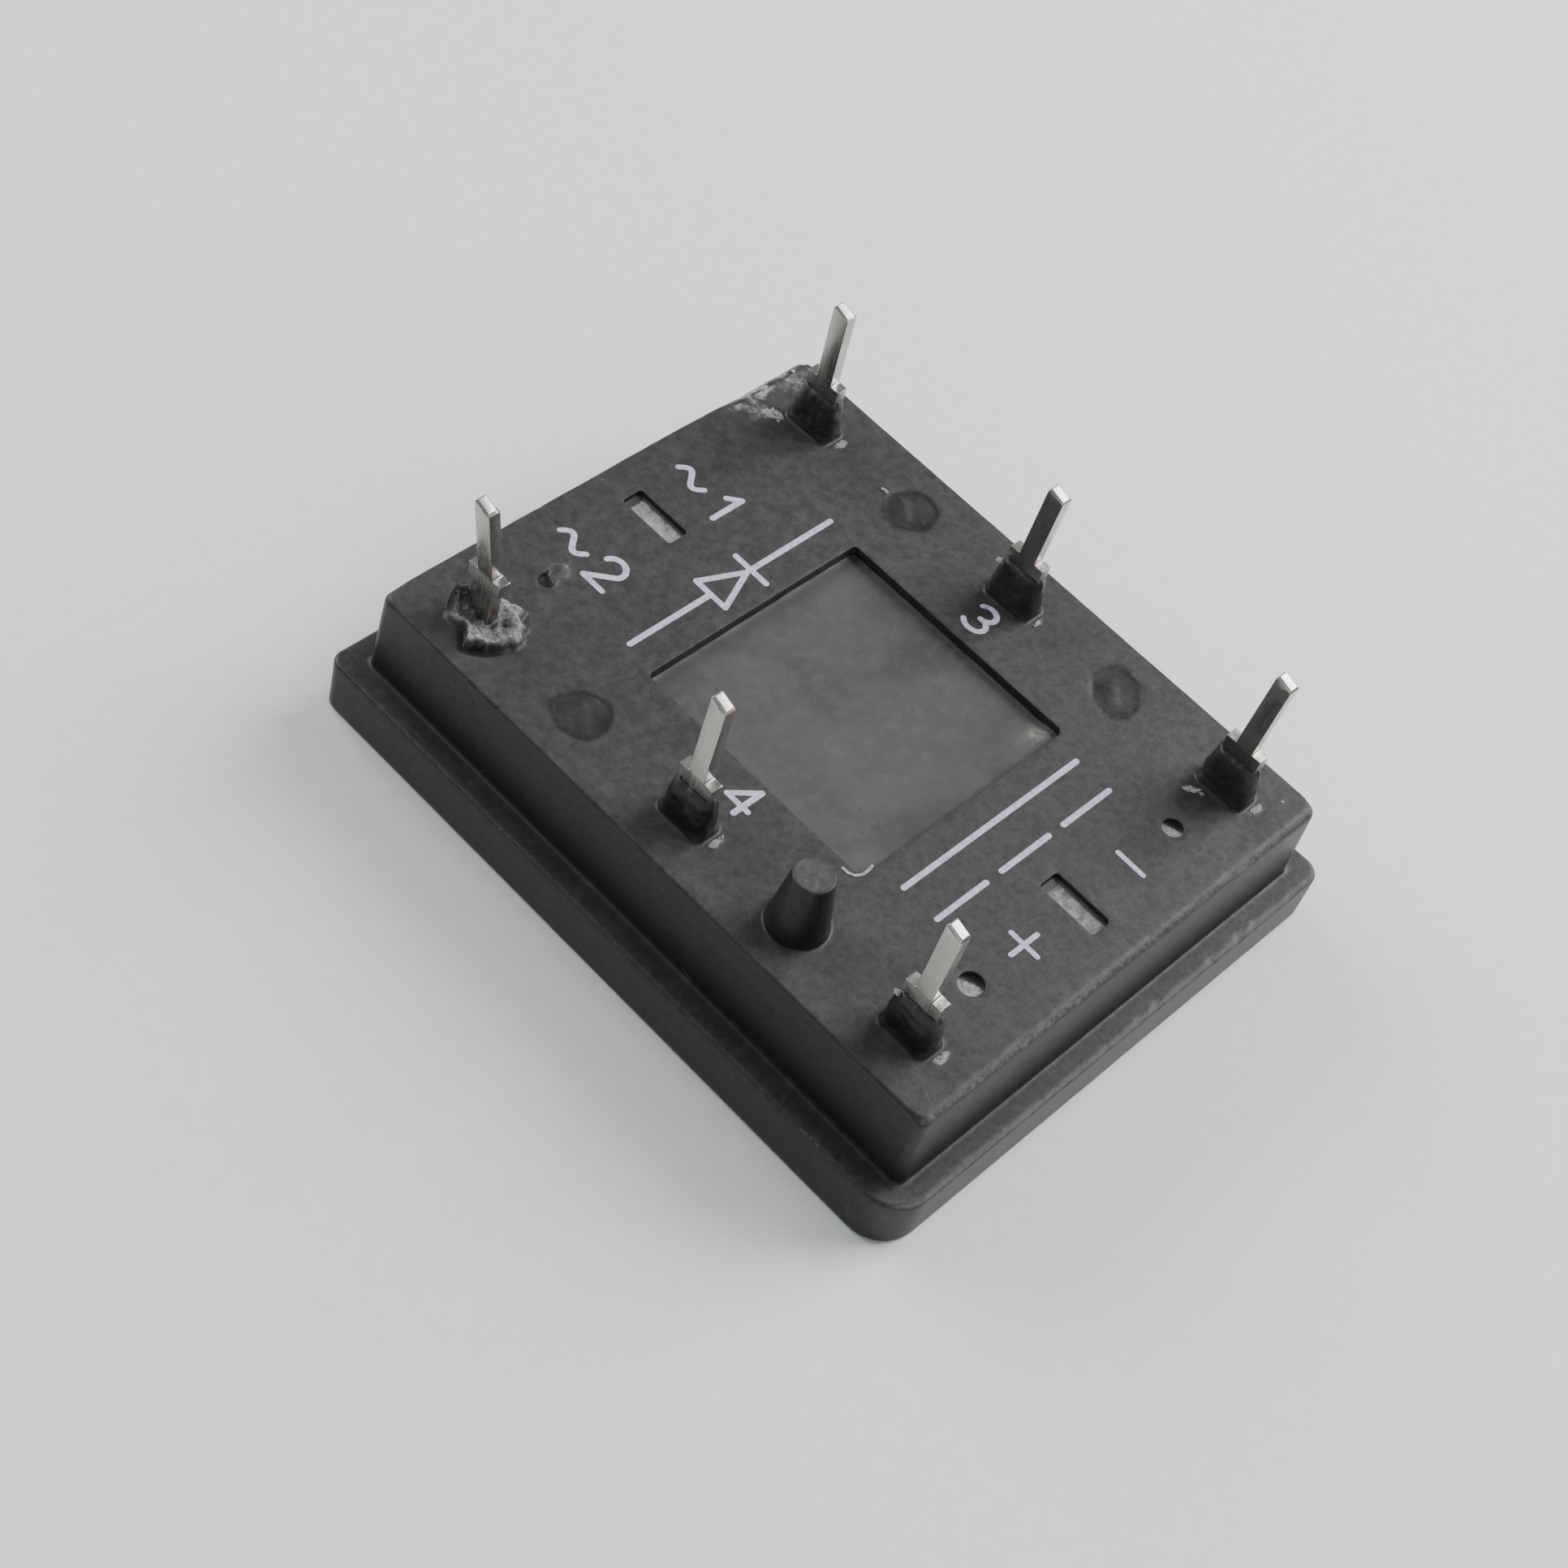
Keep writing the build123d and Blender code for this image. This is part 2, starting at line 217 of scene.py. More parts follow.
def outline(hx, hy, radii, n_x, n_y, n_c, cx=0.0, cy=0.0):
    """Rounded rectangle as parts that a varying inset can be applied to.
    radii: corners at (+X+Y), (-X+Y), (-X-Y), (+X-Y). Counter-clockwise from the middle of -Y side's +X end."""
    r = radii if isinstance(radii, (list, tuple)) else [radii] * 4

    def at(inset=0.0):
        out = []
        ins = inset if callable(inset) else (lambda i: inset)
        i = 0
        corner = [(1, 1, 0), (-1, 1, 90), (-1, -1, 180), (1, -1, 270)]
        for k, (sx, sy, a0) in enumerate(corner):
            prev = (k + 3) % 4
            side_n = n_y if k % 2 == 0 else n_x
            for j in range(side_n):      # the straight side that leads up to this corner
                t = (j + 0.5) / side_n
                d = ins(i)
                ra, rb = max(r[prev] - d, 0.03), max(r[k] - d, 0.03)
                if k == 0:
                    p = (hx - d, lerp(-hy + d + ra, hy - d - rb, t))
                elif k == 1:
                    p = (lerp(hx - d - ra, -hx + d + rb, t), hy - d)
                elif k == 2:
                    p = (-hx + d, lerp(hy - d - ra, -hy + d + rb, t))
                else:
                    p = (lerp(-hx + d + ra, hx - d - rb, t), -hy + d)
                out.append((p[0] + cx, p[1] + cy))
                i += 1
            for j in range(n_c + 1):
                d = ins(i)
                rb = max(r[k] - d, 0.03)
                a = math.radians(a0 + 90 * j / n_c)
                out.append((sx * (hx - d - rb) + rb * math.cos(a) + cx, sy * (hy - d - rb) + rb * math.sin(a) + cy))
                i += 1
        return out

    return at


def ring(cx, cy, r, n, phase=0.0):
    return [(cx + r * math.cos(2 * math.pi * i / n + phase), cy + r * math.sin(2 * math.pi * i / n + phase)) for i in range(n)]


def in_poly(x, y, poly):
    inside, j = False, len(poly) - 1
    for i in range(len(poly)):
        (xi, yi), (xj, yj) = poly[i], poly[j]
        if (yi > y) != (yj > y) and x < (xj - xi) * (y - yi) / (yj - yi) + xi:
            inside = not inside
        j = i
    return inside


def hexgrid(x0, x1, y0, y1, s, keep, jitter=0.18, seed=1):
    rng = random.Random(seed)
    pts, row, y = [], 0, y0
    while y <= y1:
        x = x0 + (0.5 * s if row % 2 else 0.0)
        while x <= x1:
            px, py = x + rng.uniform(-jitter, jitter) * s, y + rng.uniform(-jitter, jitter) * s
            if keep(px, py):
                pts.append((px, py))
            x += s
        y += s * 0.866
        row += 1
    return pts


# ---------------------------------------------------------------- shader helpers
class Tree:
    def __init__(self, name):
        self.m = bpy.data.materials.new(name)
        self.m.use_nodes = True
        self.t = self.m.node_tree
        self.t.nodes.clear()
        self.out = self.t.nodes.new("ShaderNodeOutputMaterial")
        self.b = self.t.nodes.new("ShaderNodeBsdfPrincipled")
        self.t.links.new(self.b.outputs["BSDF"], self.out.inputs["Surface"])
        tc = self.t.nodes.new("ShaderNodeTexCoord")
        mm = self.t.nodes.new("ShaderNodeVectorMath")
        mm.operation = "SCALE"
        mm.inputs["Scale"].default_value = 1000.0
        self.t.links.new(tc.outputs["Object"], mm.inputs[0])
        self.mm = mm.outputs[0]

    def put(self, sock, value):
        if isinstance(value, bpy.types.NodeSocket):
            self.t.links.new(value, sock)
        else:
            sock.default_value = value

    def stretch(self, sx, sy, sz, vec=None):
        n = self.t.nodes.new("ShaderNodeVectorMath")
        n.operation = "MULTIPLY"
        self.put(n.inputs[0], vec or self.mm)
        n.inputs[1].default_value = (sx, sy, sz)
        return n.outputs[0]

    def noise(self, scale, detail=4.0, rough=0.55, vec=None, distort=0.0, lacun=2.0):
        n = self.t.nodes.new("ShaderNodeTexNoise")
        self.put(n.inputs["Vector"], vec or self.mm)
        n.inputs["Scale"].default_value = scale
        n.inputs["Detail"].default_value = detail
        n.inputs["Roughness"].default_value = rough
        n.inputs["Lacunarity"].default_value = lacun
        n.inputs["Distortion"].default_value = distort
        return n.outputs[0]

    def cells(self, scale, feature="F1", vec=None, rand=1.0):
        n = self.t.nodes.new("ShaderNodeTexVoronoi")
        n.feature = feature
        self.put(n.inputs["Vector"], vec or self.mm)
        n.inputs["Scale"].default_value = scale
        n.inputs["Randomness"].default_value = rand
        return n

    def span(self, v, a, b, c=0.0, d=1.0, smoothly=True):
        n = self.t.nodes.new("ShaderNodeMapRange")
        n.interpolation_type = "SMOOTHSTEP" if smoothly else "LINEAR"
        self.put(n.inputs["Value"], v)
        n.inputs["From Min"].default_value = a
        n.inputs["From Max"].default_value = b
        n.inputs["To Min"].default_value = c
        n.inputs["To Max"].default_value = d
        return n.outputs[0]

    def math(self, op, a, b=0.0, clamp=False):
        n = self.t.nodes.new("ShaderNodeMath")
        n.operation = op
        n.use_clamp = clamp
        self.put(n.inputs[0], a)
        self.put(n.inputs[1], b)
        return n.outputs[0]

    def mix(self, f, a, b):
        n = self.t.nodes.new("ShaderNodeMix")
        n.data_type = "RGBA"
        self.put(n.inputs[0], f)
        self.put(n.inputs[6], a if not isinstance(a, tuple) else (*a, 1.0))
        self.put(n.inputs[7], b if not isinstance(b, tuple) else (*b, 1.0))
        return n.outputs[2]

    def mixf(self, f, a, b):
        n = self.t.nodes.new("ShaderNodeMix")
        n.data_type = "FLOAT"
        self.put(n.inputs[0], f)
        self.put(n.inputs[2], a)
        self.put(n.inputs[3], b)
        return n.outputs[0]

    def attr(self, name):
        n = self.t.nodes.new("ShaderNodeAttribute")
        n.attribute_name = name
        return n.outputs["Fac"]

    def bump(self, height, strength, distance_mm, normal=None):
        n = self.t.nodes.new("ShaderNodeBump")
        n.inputs["Strength"].default_value = strength
        n.inputs["Distance"].default_value = distance_mm * MM
        self.put(n.inputs["Height"], height)
        if normal is not None:
            self.put(n.inputs["Normal"], normal)
        return n.outputs[0]

    def finish(self, color, roughness, normal=None, metallic=0.0, **plain):
        self.put(self.b.inputs["Base Color"], color if not isinstance(color, tuple) else (*color, 1.0))
        self.put(self.b.inputs["Roughness"], roughness)
        self.put(self.b.inputs["Metallic"], metallic)
        if normal is not None:
            self.put(self.b.inputs["Normal"], normal)
        for k, v in plain.items():
            self.b.inputs[k.replace("_", " ")].default_value = v
        return self.m


def make_case_material():
    t = Tree("case_moulding")
    wear, rubble, stain, gloss, pale = (t.attr(c) for c in CHANNELS)
    grain = t.noise(7.0, 3.0, 0.6)
    fine = t.noise(22.0, 2.0, 0.5)
    mottle = t.noise(1.1, 6.0, 0.62, distort=0.4)
    cloud = t.noise(0.16, 3.0, 0.5)
    smear = t.noise(0.5, 5.0, 0.6, vec=t.stretch(1.0, 0.45, 1.0), distort=0.8)
    warm = t.span(cloud, 0.40, 0.62)
    base = t.mix(warm, (0.0205, 0.0205, 0.0210), (0.0240, 0.0212, 0.0225))
    base = t.mix(t.span(mottle, 0.35, 0.70), base, (0.0290, 0.0280, 0.0288))
    base = t.mix(t.math("MULTIPLY", t.span(smear, 0.52, 0.74), 0.40), base, (0.044, 0.0425, 0.0425))
    base = t.mix(t.math("MULTIPLY", t.span(grain, 0.54, 0.74), 0.25), base, (0.050, 0.048, 0.049))
    base = t.mix(t.math("MULTIPLY", t.span(t.noise(3.4, 5.0, 0.72), 0.52, 0.34), 0.34), base, (0.0110, 0.0107, 0.0110))
    # steep walls, collar fronts and post sides are painted darker than the top: painted shade on faces turned from the
    # light
    base = t.mix(t.math("MULTIPLY", gloss, 0.88), base, (0.0055, 0.0060, 0.0060))
    # pale specks of filler and dust
    sp = t.cells(2.3)
    speck = t.math("MULTIPLY", t.span(sp.outputs["Distance"], 0.10, 0.05), t.span(sp.outputs["Color"], 0.80, 0.86))
    base = t.mix(t.math("MULTIPLY", speck, 0.28), base, (0.17, 0.165, 0.16))
    # hairline scratches
    sc = t.cells(0.55, "DISTANCE_TO_EDGE", vec=t.stretch(1.0, 0.22, 1.0))
    hair = t.math("MULTIPLY", t.span(sc.outputs["Distance"], 0.012, 0.003), t.span(t.noise(0.6, 2.0), 0.55, 0.66))
    base = t.mix(t.math("MULTIPLY", hair, 0.16), base, (0.13, 0.125, 0.125))
    # dark stains on the blanked positions; painted shade in the dimples, in the torn dimple and round the broken collar
    st = t.math("MULTIPLY", stain, t.span(t.noise(1.6, 5.0, 0.65, distort=0.5), 0.22, 0.46), clamp=True)
    base = t.mix(t.math("MULTIPLY", st, 0.80), base, (0.0085, 0.0078, 0.0088))
    # rubbed edges, broken faces and dried residue; pale also paints light on the collars' -Y sides and on the lit side
    # of the torn dimple
    wn = t.noise(3.2, 6.0, 0.7)
    wmask = t.span(t.math("ADD", wear, t.math("MULTIPLY", t.math("SUBTRACT", wn, 0.5), 1.1)), 0.42, 0.80)
    base = t.mix(t.math("MULTIPLY", wmask, 0.70), base, (0.120, 0.116, 0.112))
    rn = t.noise(4.5, 7.0, 0.72)
    rubcol = t.mix(t.span(rn, 0.32, 0.66), (0.070, 0.067, 0.065), (0.215, 0.210, 0.202))
    rubcol = t.mix(t.span(t.noise(2.0, 3.0), 0.62, 0.72), rubcol, (0.030, 0.025, 0.023))
    base = t.mix(t.math("MULTIPLY", rubble, 0.95, clamp=True), base, rubcol)
    pmask = t.span(t.math("ADD", pale, t.math("MULTIPLY", t.math("SUBTRACT", t.noise(2.6, 6.0, 0.68), 0.5), 0.9)), 0.30, 0.62)
    pcol = t.mix(t.span(rn, 0.34, 0.64), (0.150, 0.146, 0.140), (0.330, 0.322, 0.308))
    base = t.mix(t.math("MULTIPLY", pmask, 0.92), base, pcol)
    rough = t.mixf(t.span(mottle, 0.3, 0.7), 0.50, 0.62)
    rough = t.mixf(gloss, rough, 0.42)
    rough = t.mixf(t.math("MULTIPLY", st, 0.6), rough, 0.50)
    rough = t.mixf(wmask, rough, 0.70)
    rough = t.mixf(rubble, rough, 0.85)
    rough = t.mixf(pmask, rough, 0.80)
    spec = t.mixf(st, t.span(t.noise(2.2, 6.0, 0.72, distort=0.3), 0.30, 0.66, 0.26, 0.47), 0.10)
    t.put(t.b.inputs["Specular IOR Level"], t.mixf(t.math("MULTIPLY", gloss, 0.6), spec, 0.30))
    nrm = t.bump(t.noise(0.8, 3.0), 0.25, 0.02)
    nrm = t.bump(grain, 0.32, 0.017, nrm)
    nrm = t.bump(fine, 0.22, 0.008, nrm)
    nrm = t.bump(t.math("MULTIPLY", rn, rubble), 0.9, 0.10, nrm)
    return t.finish(base, rough, nrm, IOR=1.50)


def make_potting_material():
    t = Tree("potting")
    cloud = t.noise(0.22, 4.0, 0.5, distort=0.6)
    mottle = t.noise(1.3, 6.0, 0.65, distort=0.5)
    grain = t.noise(8.0, 3.0, 0.6)
    base = t.mix(t.span(cloud, 0.36, 0.64), (0.0390, 0.0365, 0.0378), (0.0540, 0.0515, 0.0525))
    base = t.mix(t.math("MULTIPLY", t.span(mottle, 0.45, 0.72), 0.55), base, (0.072, 0.069, 0.069))
    base = t.mix(t.math("MULTIPLY", t.span(grain, 0.62, 0.80), 0.25), base, (0.105, 0.101, 0.101))
    rub = t.attr("rubble")
    base = t.mix(t.math("MULTIPLY", rub, t.span(mottle, 0.30, 0.55)), base, (0.20, 0.19, 0.175))
    # painted shade along the window's -Y wall and beside the slots' far walls
    dark = t.attr("stain")
    base = t.mix(t.math("MULTIPLY", dark, 0.6), base, (0.026, 0.025, 0.026))
    pale = t.span(t.math("ADD", t.attr("pale"), t.math("MULTIPLY", t.math("SUBTRACT", t.noise(1.9, 5.0, 0.65), 0.5), 0.8)), 0.30, 0.70)
    base = t.mix(t.math("MULTIPLY", pale, 0.92), base, t.mix(t.span(grain, 0.35, 0.65), (0.200, 0.196, 0.188), (0.300, 0.292, 0.280)))
    pit = t.cells(0.9)
    hole = t.math("MULTIPLY", t.span(pit.outputs["Distance"], 0.09, 0.05), t.span(pit.outputs["Color"], 0.74, 0.80))
    base = t.mix(t.math("MULTIPLY", hole, 0.6), base, (0.02, 0.02, 0.02))
    rough = t.mixf(t.span(mottle, 0.3, 0.7), 0.52, 0.66)
    nrm = t.bump(t.noise(0.6, 3.0), 0.4, 0.03)
    nrm = t.bump(grain, 0.30, 0.015, nrm)
    nrm = t.bump(t.math("SUBTRACT", 1.0, hole), 0.6, 0.03, nrm)
    return t.finish(base, rough, nrm, IOR=1.5, Specular_IOR_Level=0.40)


def make_metal(name, light, dark, tarnish, rough_lo, rough_hi, grain_axis="z", amount=0.5, relief=1.0):
    t = Tree(name)
    st = {"z": (9.0, 9.0, 0.5), "y": (14.0, 0.7, 14.0), "x": (0.7, 14.0, 14.0)}[grain_axis]
    draw = t.noise(1.0, 4.0, 0.6, vec=t.stretch(*st))
    patch = t.noise(0.42, 4.0, 0.55, distort=0.4)
    spots = t.noise(2.4, 5.0, 0.65)
    base = t.mix(t.span(draw, 0.35, 0.65), dark, light)
    base = t.mix(t.math("MULTIPLY", t.span(patch, 0.42, 0.66), amount), base, tarnish)
    base = t.mix(t.math("MULTIPLY", t.span(spots, 0.66, 0.80), 0.7 * amount), base, tuple(c * 0.5 for c in tarnish))
    rough = t.mixf(t.span(draw, 0.3, 0.7), rough_lo, rough_hi)
    rough = t.mixf(t.math("MULTIPLY", t.span(patch, 0.42, 0.66), 0.7), rough, min(0.75, rough_hi + 0.14))
    nrm = t.bump(t.noise(1.0, 2.0, 0.5, vec=t.stretch(*(c * 0.45 for c in st))), 0.22 * relief, 0.010)
    nrm = t.bump(spots, 0.16 * relief, 0.010, nrm)
    return t.finish(base, rough, nrm, metallic=1.0)


def make_ink():
    t = Tree("print_ink")
    cover = t.noise(5.0, 4.0, 0.6)
    thin = t.noise(1.2, 3.0)
    base = t.mix(t.span(cover, 0.30, 0.62), (0.300, 0.285, 0.350), (0.470, 0.455, 0.545))
    base = t.mix(t.math("MULTIPLY", t.span(thin, 0.55, 0.70), 0.35), base, (0.210, 0.200, 0.240))
    return t.finish(base, t.span(cover, 0.3, 0.7, 0.55, 0.72), t.bump(cover, 0.4, 0.01))


def make_flux():
    t = Tree("flux_residue")
    a = t.noise(5.5, 5.0, 0.65)
    base = t.mix(t.span(a, 0.35, 0.65), (0.190, 0.178, 0.160), (0.420, 0.405, 0.375))
    base = t.mix(t.math("MULTIPLY", t.span(t.noise(2.1, 3.0), 0.52, 0.66), 0.6), base, (0.110, 0.092, 0.075))
    return t.finish(base, t.span(a, 0.3, 0.7, 0.55, 0.80), t.bump(a, 0.6, 0.04))


def make_adhesive():
    t = Tree("adhesive")
    a = t.noise(1.6, 5.0, 0.6)
    base = t.mix(t.span(a, 0.35, 0.65), (0.090, 0.082, 0.072), (0.165, 0.152, 0.132))
    return t.finish(base, t.span(a, 0.3, 0.7, 0.35, 0.6), t.bump(t.noise(4.0, 4.0), 0.4, 0.03))


def make_plain(name, c1, c2, rough, bump=0.02, scale=2.5, metallic=0.0, **plain):
    t = Tree(name)
    a = t.noise(scale, 5.0, 0.6)
    b = t.noise(scale * 0.2, 3.0, 0.5)
    base = t.mix(t.span(a, 0.35, 0.65), c1, c2)
    base = t.mix(t.math("MULTIPLY", t.span(b, 0.5, 0.7), 0.35), base, tuple(0.7 * c for c in c1))
    return t.finish(base, t.span(a, 0.3, 0.7, max(0.05, rough - 0.08), min(1.0, rough + 0.1)), t.bump(a, 0.4, bump), metallic=metallic, **plain)


MAT = {
    "case_moulding": make_case_material(),
    "potting": make_potting_material(),
    "tinned_copper": make_metal("tinned_copper", (0.440, 0.430, 0.402), (0.395, 0.384, 0.356), (0.300, 0.262, 0.215), 0.22, 0.29, "z", 0.28, 0.02),
    "nickel_plate": make_metal("nickel_plate", (0.640, 0.625, 0.590), (0.520, 0.505, 0.475), (0.470, 0.445, 0.400), 0.28, 0.38, "y", 0.16),
    "adhesive": make_adhesive(),
    "solder": make_metal("solder", (0.60, 0.60, 0.61), (0.44, 0.44, 0.46), (0.30, 0.30, 0.31), 0.32, 0.50, "x", 0.4),
    "copper": make_metal("copper", (0.86, 0.50, 0.36), (0.74, 0.40, 0.27), (0.38, 0.20, 0.13), 0.24, 0.42, "y", 0.45),
    "alumina": make_plain("alumina", (0.80, 0.79, 0.76), (0.87, 0.86, 0.84), 0.55, 0.01, 6.0),
    "silicon": make_plain("silicon", (0.17, 0.175, 0.20), (0.23, 0.235, 0.26), 0.18, 0.002, 3.0, metallic=0.75),
    "gate_wire": make_metal("gate_wire", (0.78, 0.79, 0.80), (0.62, 0.63, 0.64), (0.42, 0.42, 0.42), 0.22, 0.38, "z", 0.3),
    "gel": make_plain("gel", (0.70, 0.72, 0.70), (0.78, 0.79, 0.76), 0.12, 0.01, 0.8, Transmission_Weight=0.85, IOR=1.41),
    "print_ink": make_ink(),
    "flux_residue": make_flux(),
}


def dress(o, slot_name, body="root"):
    o.data.materials.clear()
    o.data.materials.append(MAT[slot_name])
    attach(o, body)
    return o


# ---------------------------------------------------------------- case
NXS, NYS, NCS = 112, 140, 10
KEY = [0.9, 0.9, 2.4, 0.9]


def along_minus_y(x, y):
    return smooth(-FOOT_HY + 1.2, -FOOT_HY + 0.15, y)


def torn_corner(x, y):
    """The knocked corner beside terminal AC1."""
    return smooth(8.6, 10.2, x) * smooth(TOP_HY - 0.9, TOP_HY - 0.1, y) + 0.6 * smooth(5.0, 8.8, x) * smooth(TOP_HY - 0.5, TOP_HY - 0.1, y)


def chip_noise(x, y, z, s, seed):
    """0 nearly everywhere, rising to 1 in small scattered notches."""
    d, _ = noise.voronoi(Vector((x * s + seed, y * s, z * s)), distance_metric="DISTANCE", exponent=2.5)
    g = n3(x, y, z, s * 0.45, seed + 3.1)
    return smooth(0.34, 0.10, d[0]) * smooth(0.05, 0.35, g)


def build_case():
    s = Shell()
    flange = outline(FLANGE_HX, FLANGE_HY, KEY, NXS, NYS, NCS)
    foot = outline(FOOT_HX, FOOT_HY, 0.6, NXS, NYS, NCS)
    top = outline(TOP_HX, TOP_HY, 0.6, NXS, NYS, NCS)
    recess = outline(REC_HX, REC_HY, 0.9, NXS, NYS, NCS)
    cavity = outline(CAV_HX, CAV_HY, 0.8, NXS, NYS, NCS)
    base_f = flange()
    count = len(base_f)

    # flange: bottom chamfer, side, worn top edge
    s_rings = []
    s_rings.append(s.add([(x, y, CASE_Z0) for x, y in flange(0.1)], wear=0.25, gloss=0.6))
    s_rings.append(s.add([(x, y, CASE_Z0 + 0.1) for x, y in flange(0.0)], wear=0.35, gloss=0.7))
    fr = []
    for i, (x, y) in enumerate(base_f):
        r = 0.22 + 0.05 * fbm(x, y, 0, 0.7, 3, 5.0) + 0.16 * chip_noise(x, y, LEDGE, 0.8, 2.0)
        r += along_minus_y(x, y + 1.4) * (0.12 + 0.20 * max(0.0, fbm(x, y, 3, 1.1, 4, 9.0)) + 0.25 * chip_noise(x, y, 1, 0.9, 7.0))
        fr.append(max(0.12, r))
    z_side_top = LEDGE - 0.75
    # the flange side is painted dark, as shade
    for k in range(1, 10):
        z = lerp(CASE_Z0 + 0.1, z_side_top, k / 9)
        s_rings.append(s.add([(x, y, z) for x, y in base_f], gloss=0.9))
    STEPS = 6
    for k in range(STEPS + 1):
        a = math.radians(90 * k / STEPS)
        pts = flange(lambda i: fr[i] * (1 - math.cos(a)))
        zs = [LEDGE - fr[i] * (1 - math.sin(a)) for i in range(count)]
        w = math.sin(2 * a) if k < STEPS else 0.15
        wear = []
        for i, (x, y) in enumerate(base_f):
            e = 0.42 + 0.40 * along_minus_y(x, y + 1.4) + 0.25 * fbm(x, y, 0, 0.4, 3, 21.0)
            wear.append(max(0.0, w * e))
        s_rings.append(s.add([(p[0], p[1], z) for p, z in zip(pts, zs)], wear=wear, gloss=0.9 * (1 - k / STEPS)))
    # ledge, then a small root radius into the wall
    root = 0.16
    for k in range(1, 7):
        u = k / 6
        a_pts = flange(lambda i: fr[i])
        b_pts = foot(-root)
        pts = [(lerp(p[0], q[0], u), lerp(p[1], q[1], u)) for p, q in zip(a_pts, b_pts)]
        wear = [max(0.0, (0.22 * (1 - u)) * (1 + 0.8 * fbm(x, y, 0, 0.9, 3, 33.0)) + 0.3 * (1 - u) * along_minus_y(x, y + 1.4)) for x, y in pts]
        # the ledge is painted darker towards the wall, as shade in the corner
        s_rings.append(s.add([(x, y, LEDGE) for x, y in pts], wear=wear, gloss=0.15 + 0.35 * u))
    for k in (1, 2, 3):
        a = math.radians(90 * k / 3)
        ins = -root * (1 - math.sin(a))
        s_rings.append(s.add([(x, y, LEDGE + root * (1 - math.cos(a))) for x, y in foot(ins)], gloss=0.6))
    # body wall with draft
    tr = []
    base_t = top()
    for i, (x, y) in enumerate(base_t):
        soft = along_minus_y(x, y - 0.2)
        corner = torn_corner(x, y)
        r = 0.20 + 0.05 * fbm(x, y, 1, 0.8, 3, 15.0) + 0.10 * chip_noise(x, y, TOP, 0.7, 12.0)
        r += soft * (0.34 + 0.16 * fbm(x, y, 5, 0.45, 3, 41.0))
        r += corner * (0.22 + 0.30 * max(0.0, fbm(x, y, 2, 1.3, 4, 51.0)) + 0.25 * chip_noise(x, y, 4, 1.1, 23.0))
        r += 0.22 * math.exp(-((x + 15.6) ** 2 + (y - 20.0) ** 2) / 0.9)
        tr.append(max(0.14, min(0.85, r)))
    WALL = 15
    for k in range(1, WALL + 1):
        z = lerp(LEDGE + root, TOP - 0.9, k / WALL)
        u = (z - LEDGE) / (TOP - LEDGE)
        pts = [(lerp(p[0], q[0], u), lerp(p[1], q[1], u)) for p, q in zip(foot(), base_t)]
        # the wall is painted dark all over, as shade
        s_rings.append(s.add([(x, y, z) for x, y in pts], gloss=1.0))
    STEPS = 8
    draft = (FOOT_HX - TOP_HX) / (TOP - LEDGE)
    for k in range(STEPS + 1):
        a = math.radians(90 * k / STEPS)
        pts = top(lambda i: tr[i] * (1 - math.cos(a)) - draft * tr[i] * (1 - math.sin(a)))
        zs = [TOP - tr[i] * (1 - math.sin(a)) for i in range(count)]
        w = math.sin(2 * a) if k < STEPS else 0.25
        wear, gl, pl = [], [], []
        for i, (x, y) in enumerate(base_t):
            soft = along_minus_y(x, y - 0.2)
            pl.append(max(0.0, min(1.0, torn_corner(x, y)) * (0.52 + 0.9 * fbm(x, y, 0, 0.9, 3, 66.0)) * (0.3 + 0.7 * math.sin(math.pi * (k + 2) / (STEPS + 3))) + 0.35 * w * soft * max(0.0, fbm(x, y, 0, 1.2, 3, 68.0))))
            e = 0.30 + 0.30 * soft + 0.55 * min(1.0, torn_corner(x, y)) + 0.22 * fbm(x, y, 0, 0.35, 3, 61.0)
            wear.append(max(0.0, w * e))
            gl.append((1 - k / STEPS) * (1 - 0.35 * soft))
        s_rings.append(s.add([(p[0], p[1], z) for p, z in zip(pts, zs)], wear=wear, gloss=gl, pale=pl))
    for a, b in zip(s_rings, s_rings[1:]):
        s.strip(a, b)
    rim = s_rings[-1]

    # underside: annulus, recess for the base plate, shelf, cavity
    inner = [s_rings[0]]
    for k in (1, 2):
        u = k / 3
        pts = [(lerp(p[0], q[0], u), lerp(p[1], q[1], u)) for p, q in zip(flange(0.1), recess(-0.05))]
        inner.append(s.add([(x, y, CASE_Z0) for x, y in pts], gloss=0.3))
    inner.append(s.add([(x, y, CASE_Z0) for x, y in recess(-0.05)], wear=0.2, gloss=0.3))
    for ins, z in ((0.0, CASE_Z0 + 0.05), (0.0, CASE_Z0 + 0.8), (0.0, SHELF)):
        inner.append(s.add([(x, y, z) for x, y in recess(ins)], gloss=0.5))
    for u in (0.5, 1.0):
        pts = [(lerp(p[0], q[0], u), lerp(p[1], q[1], u)) for p, q in zip(recess(), cavity())]
        inner.append(s.add([(x, y, SHELF) for x, y in pts], gloss=0.2))
    for z in (SHELF + 2.0, SHELF + 4.0, ROOF):
        inner.append(s.add([(x, y, z) for x, y in cavity()], gloss=0.2))
    for a, b in zip(inner, inner[1:]):
        s.strip(b, a)
    roof_edge = inner[-1]

    holes_top, holes_roof = [], []
    keep_top, keep_roof = [], []

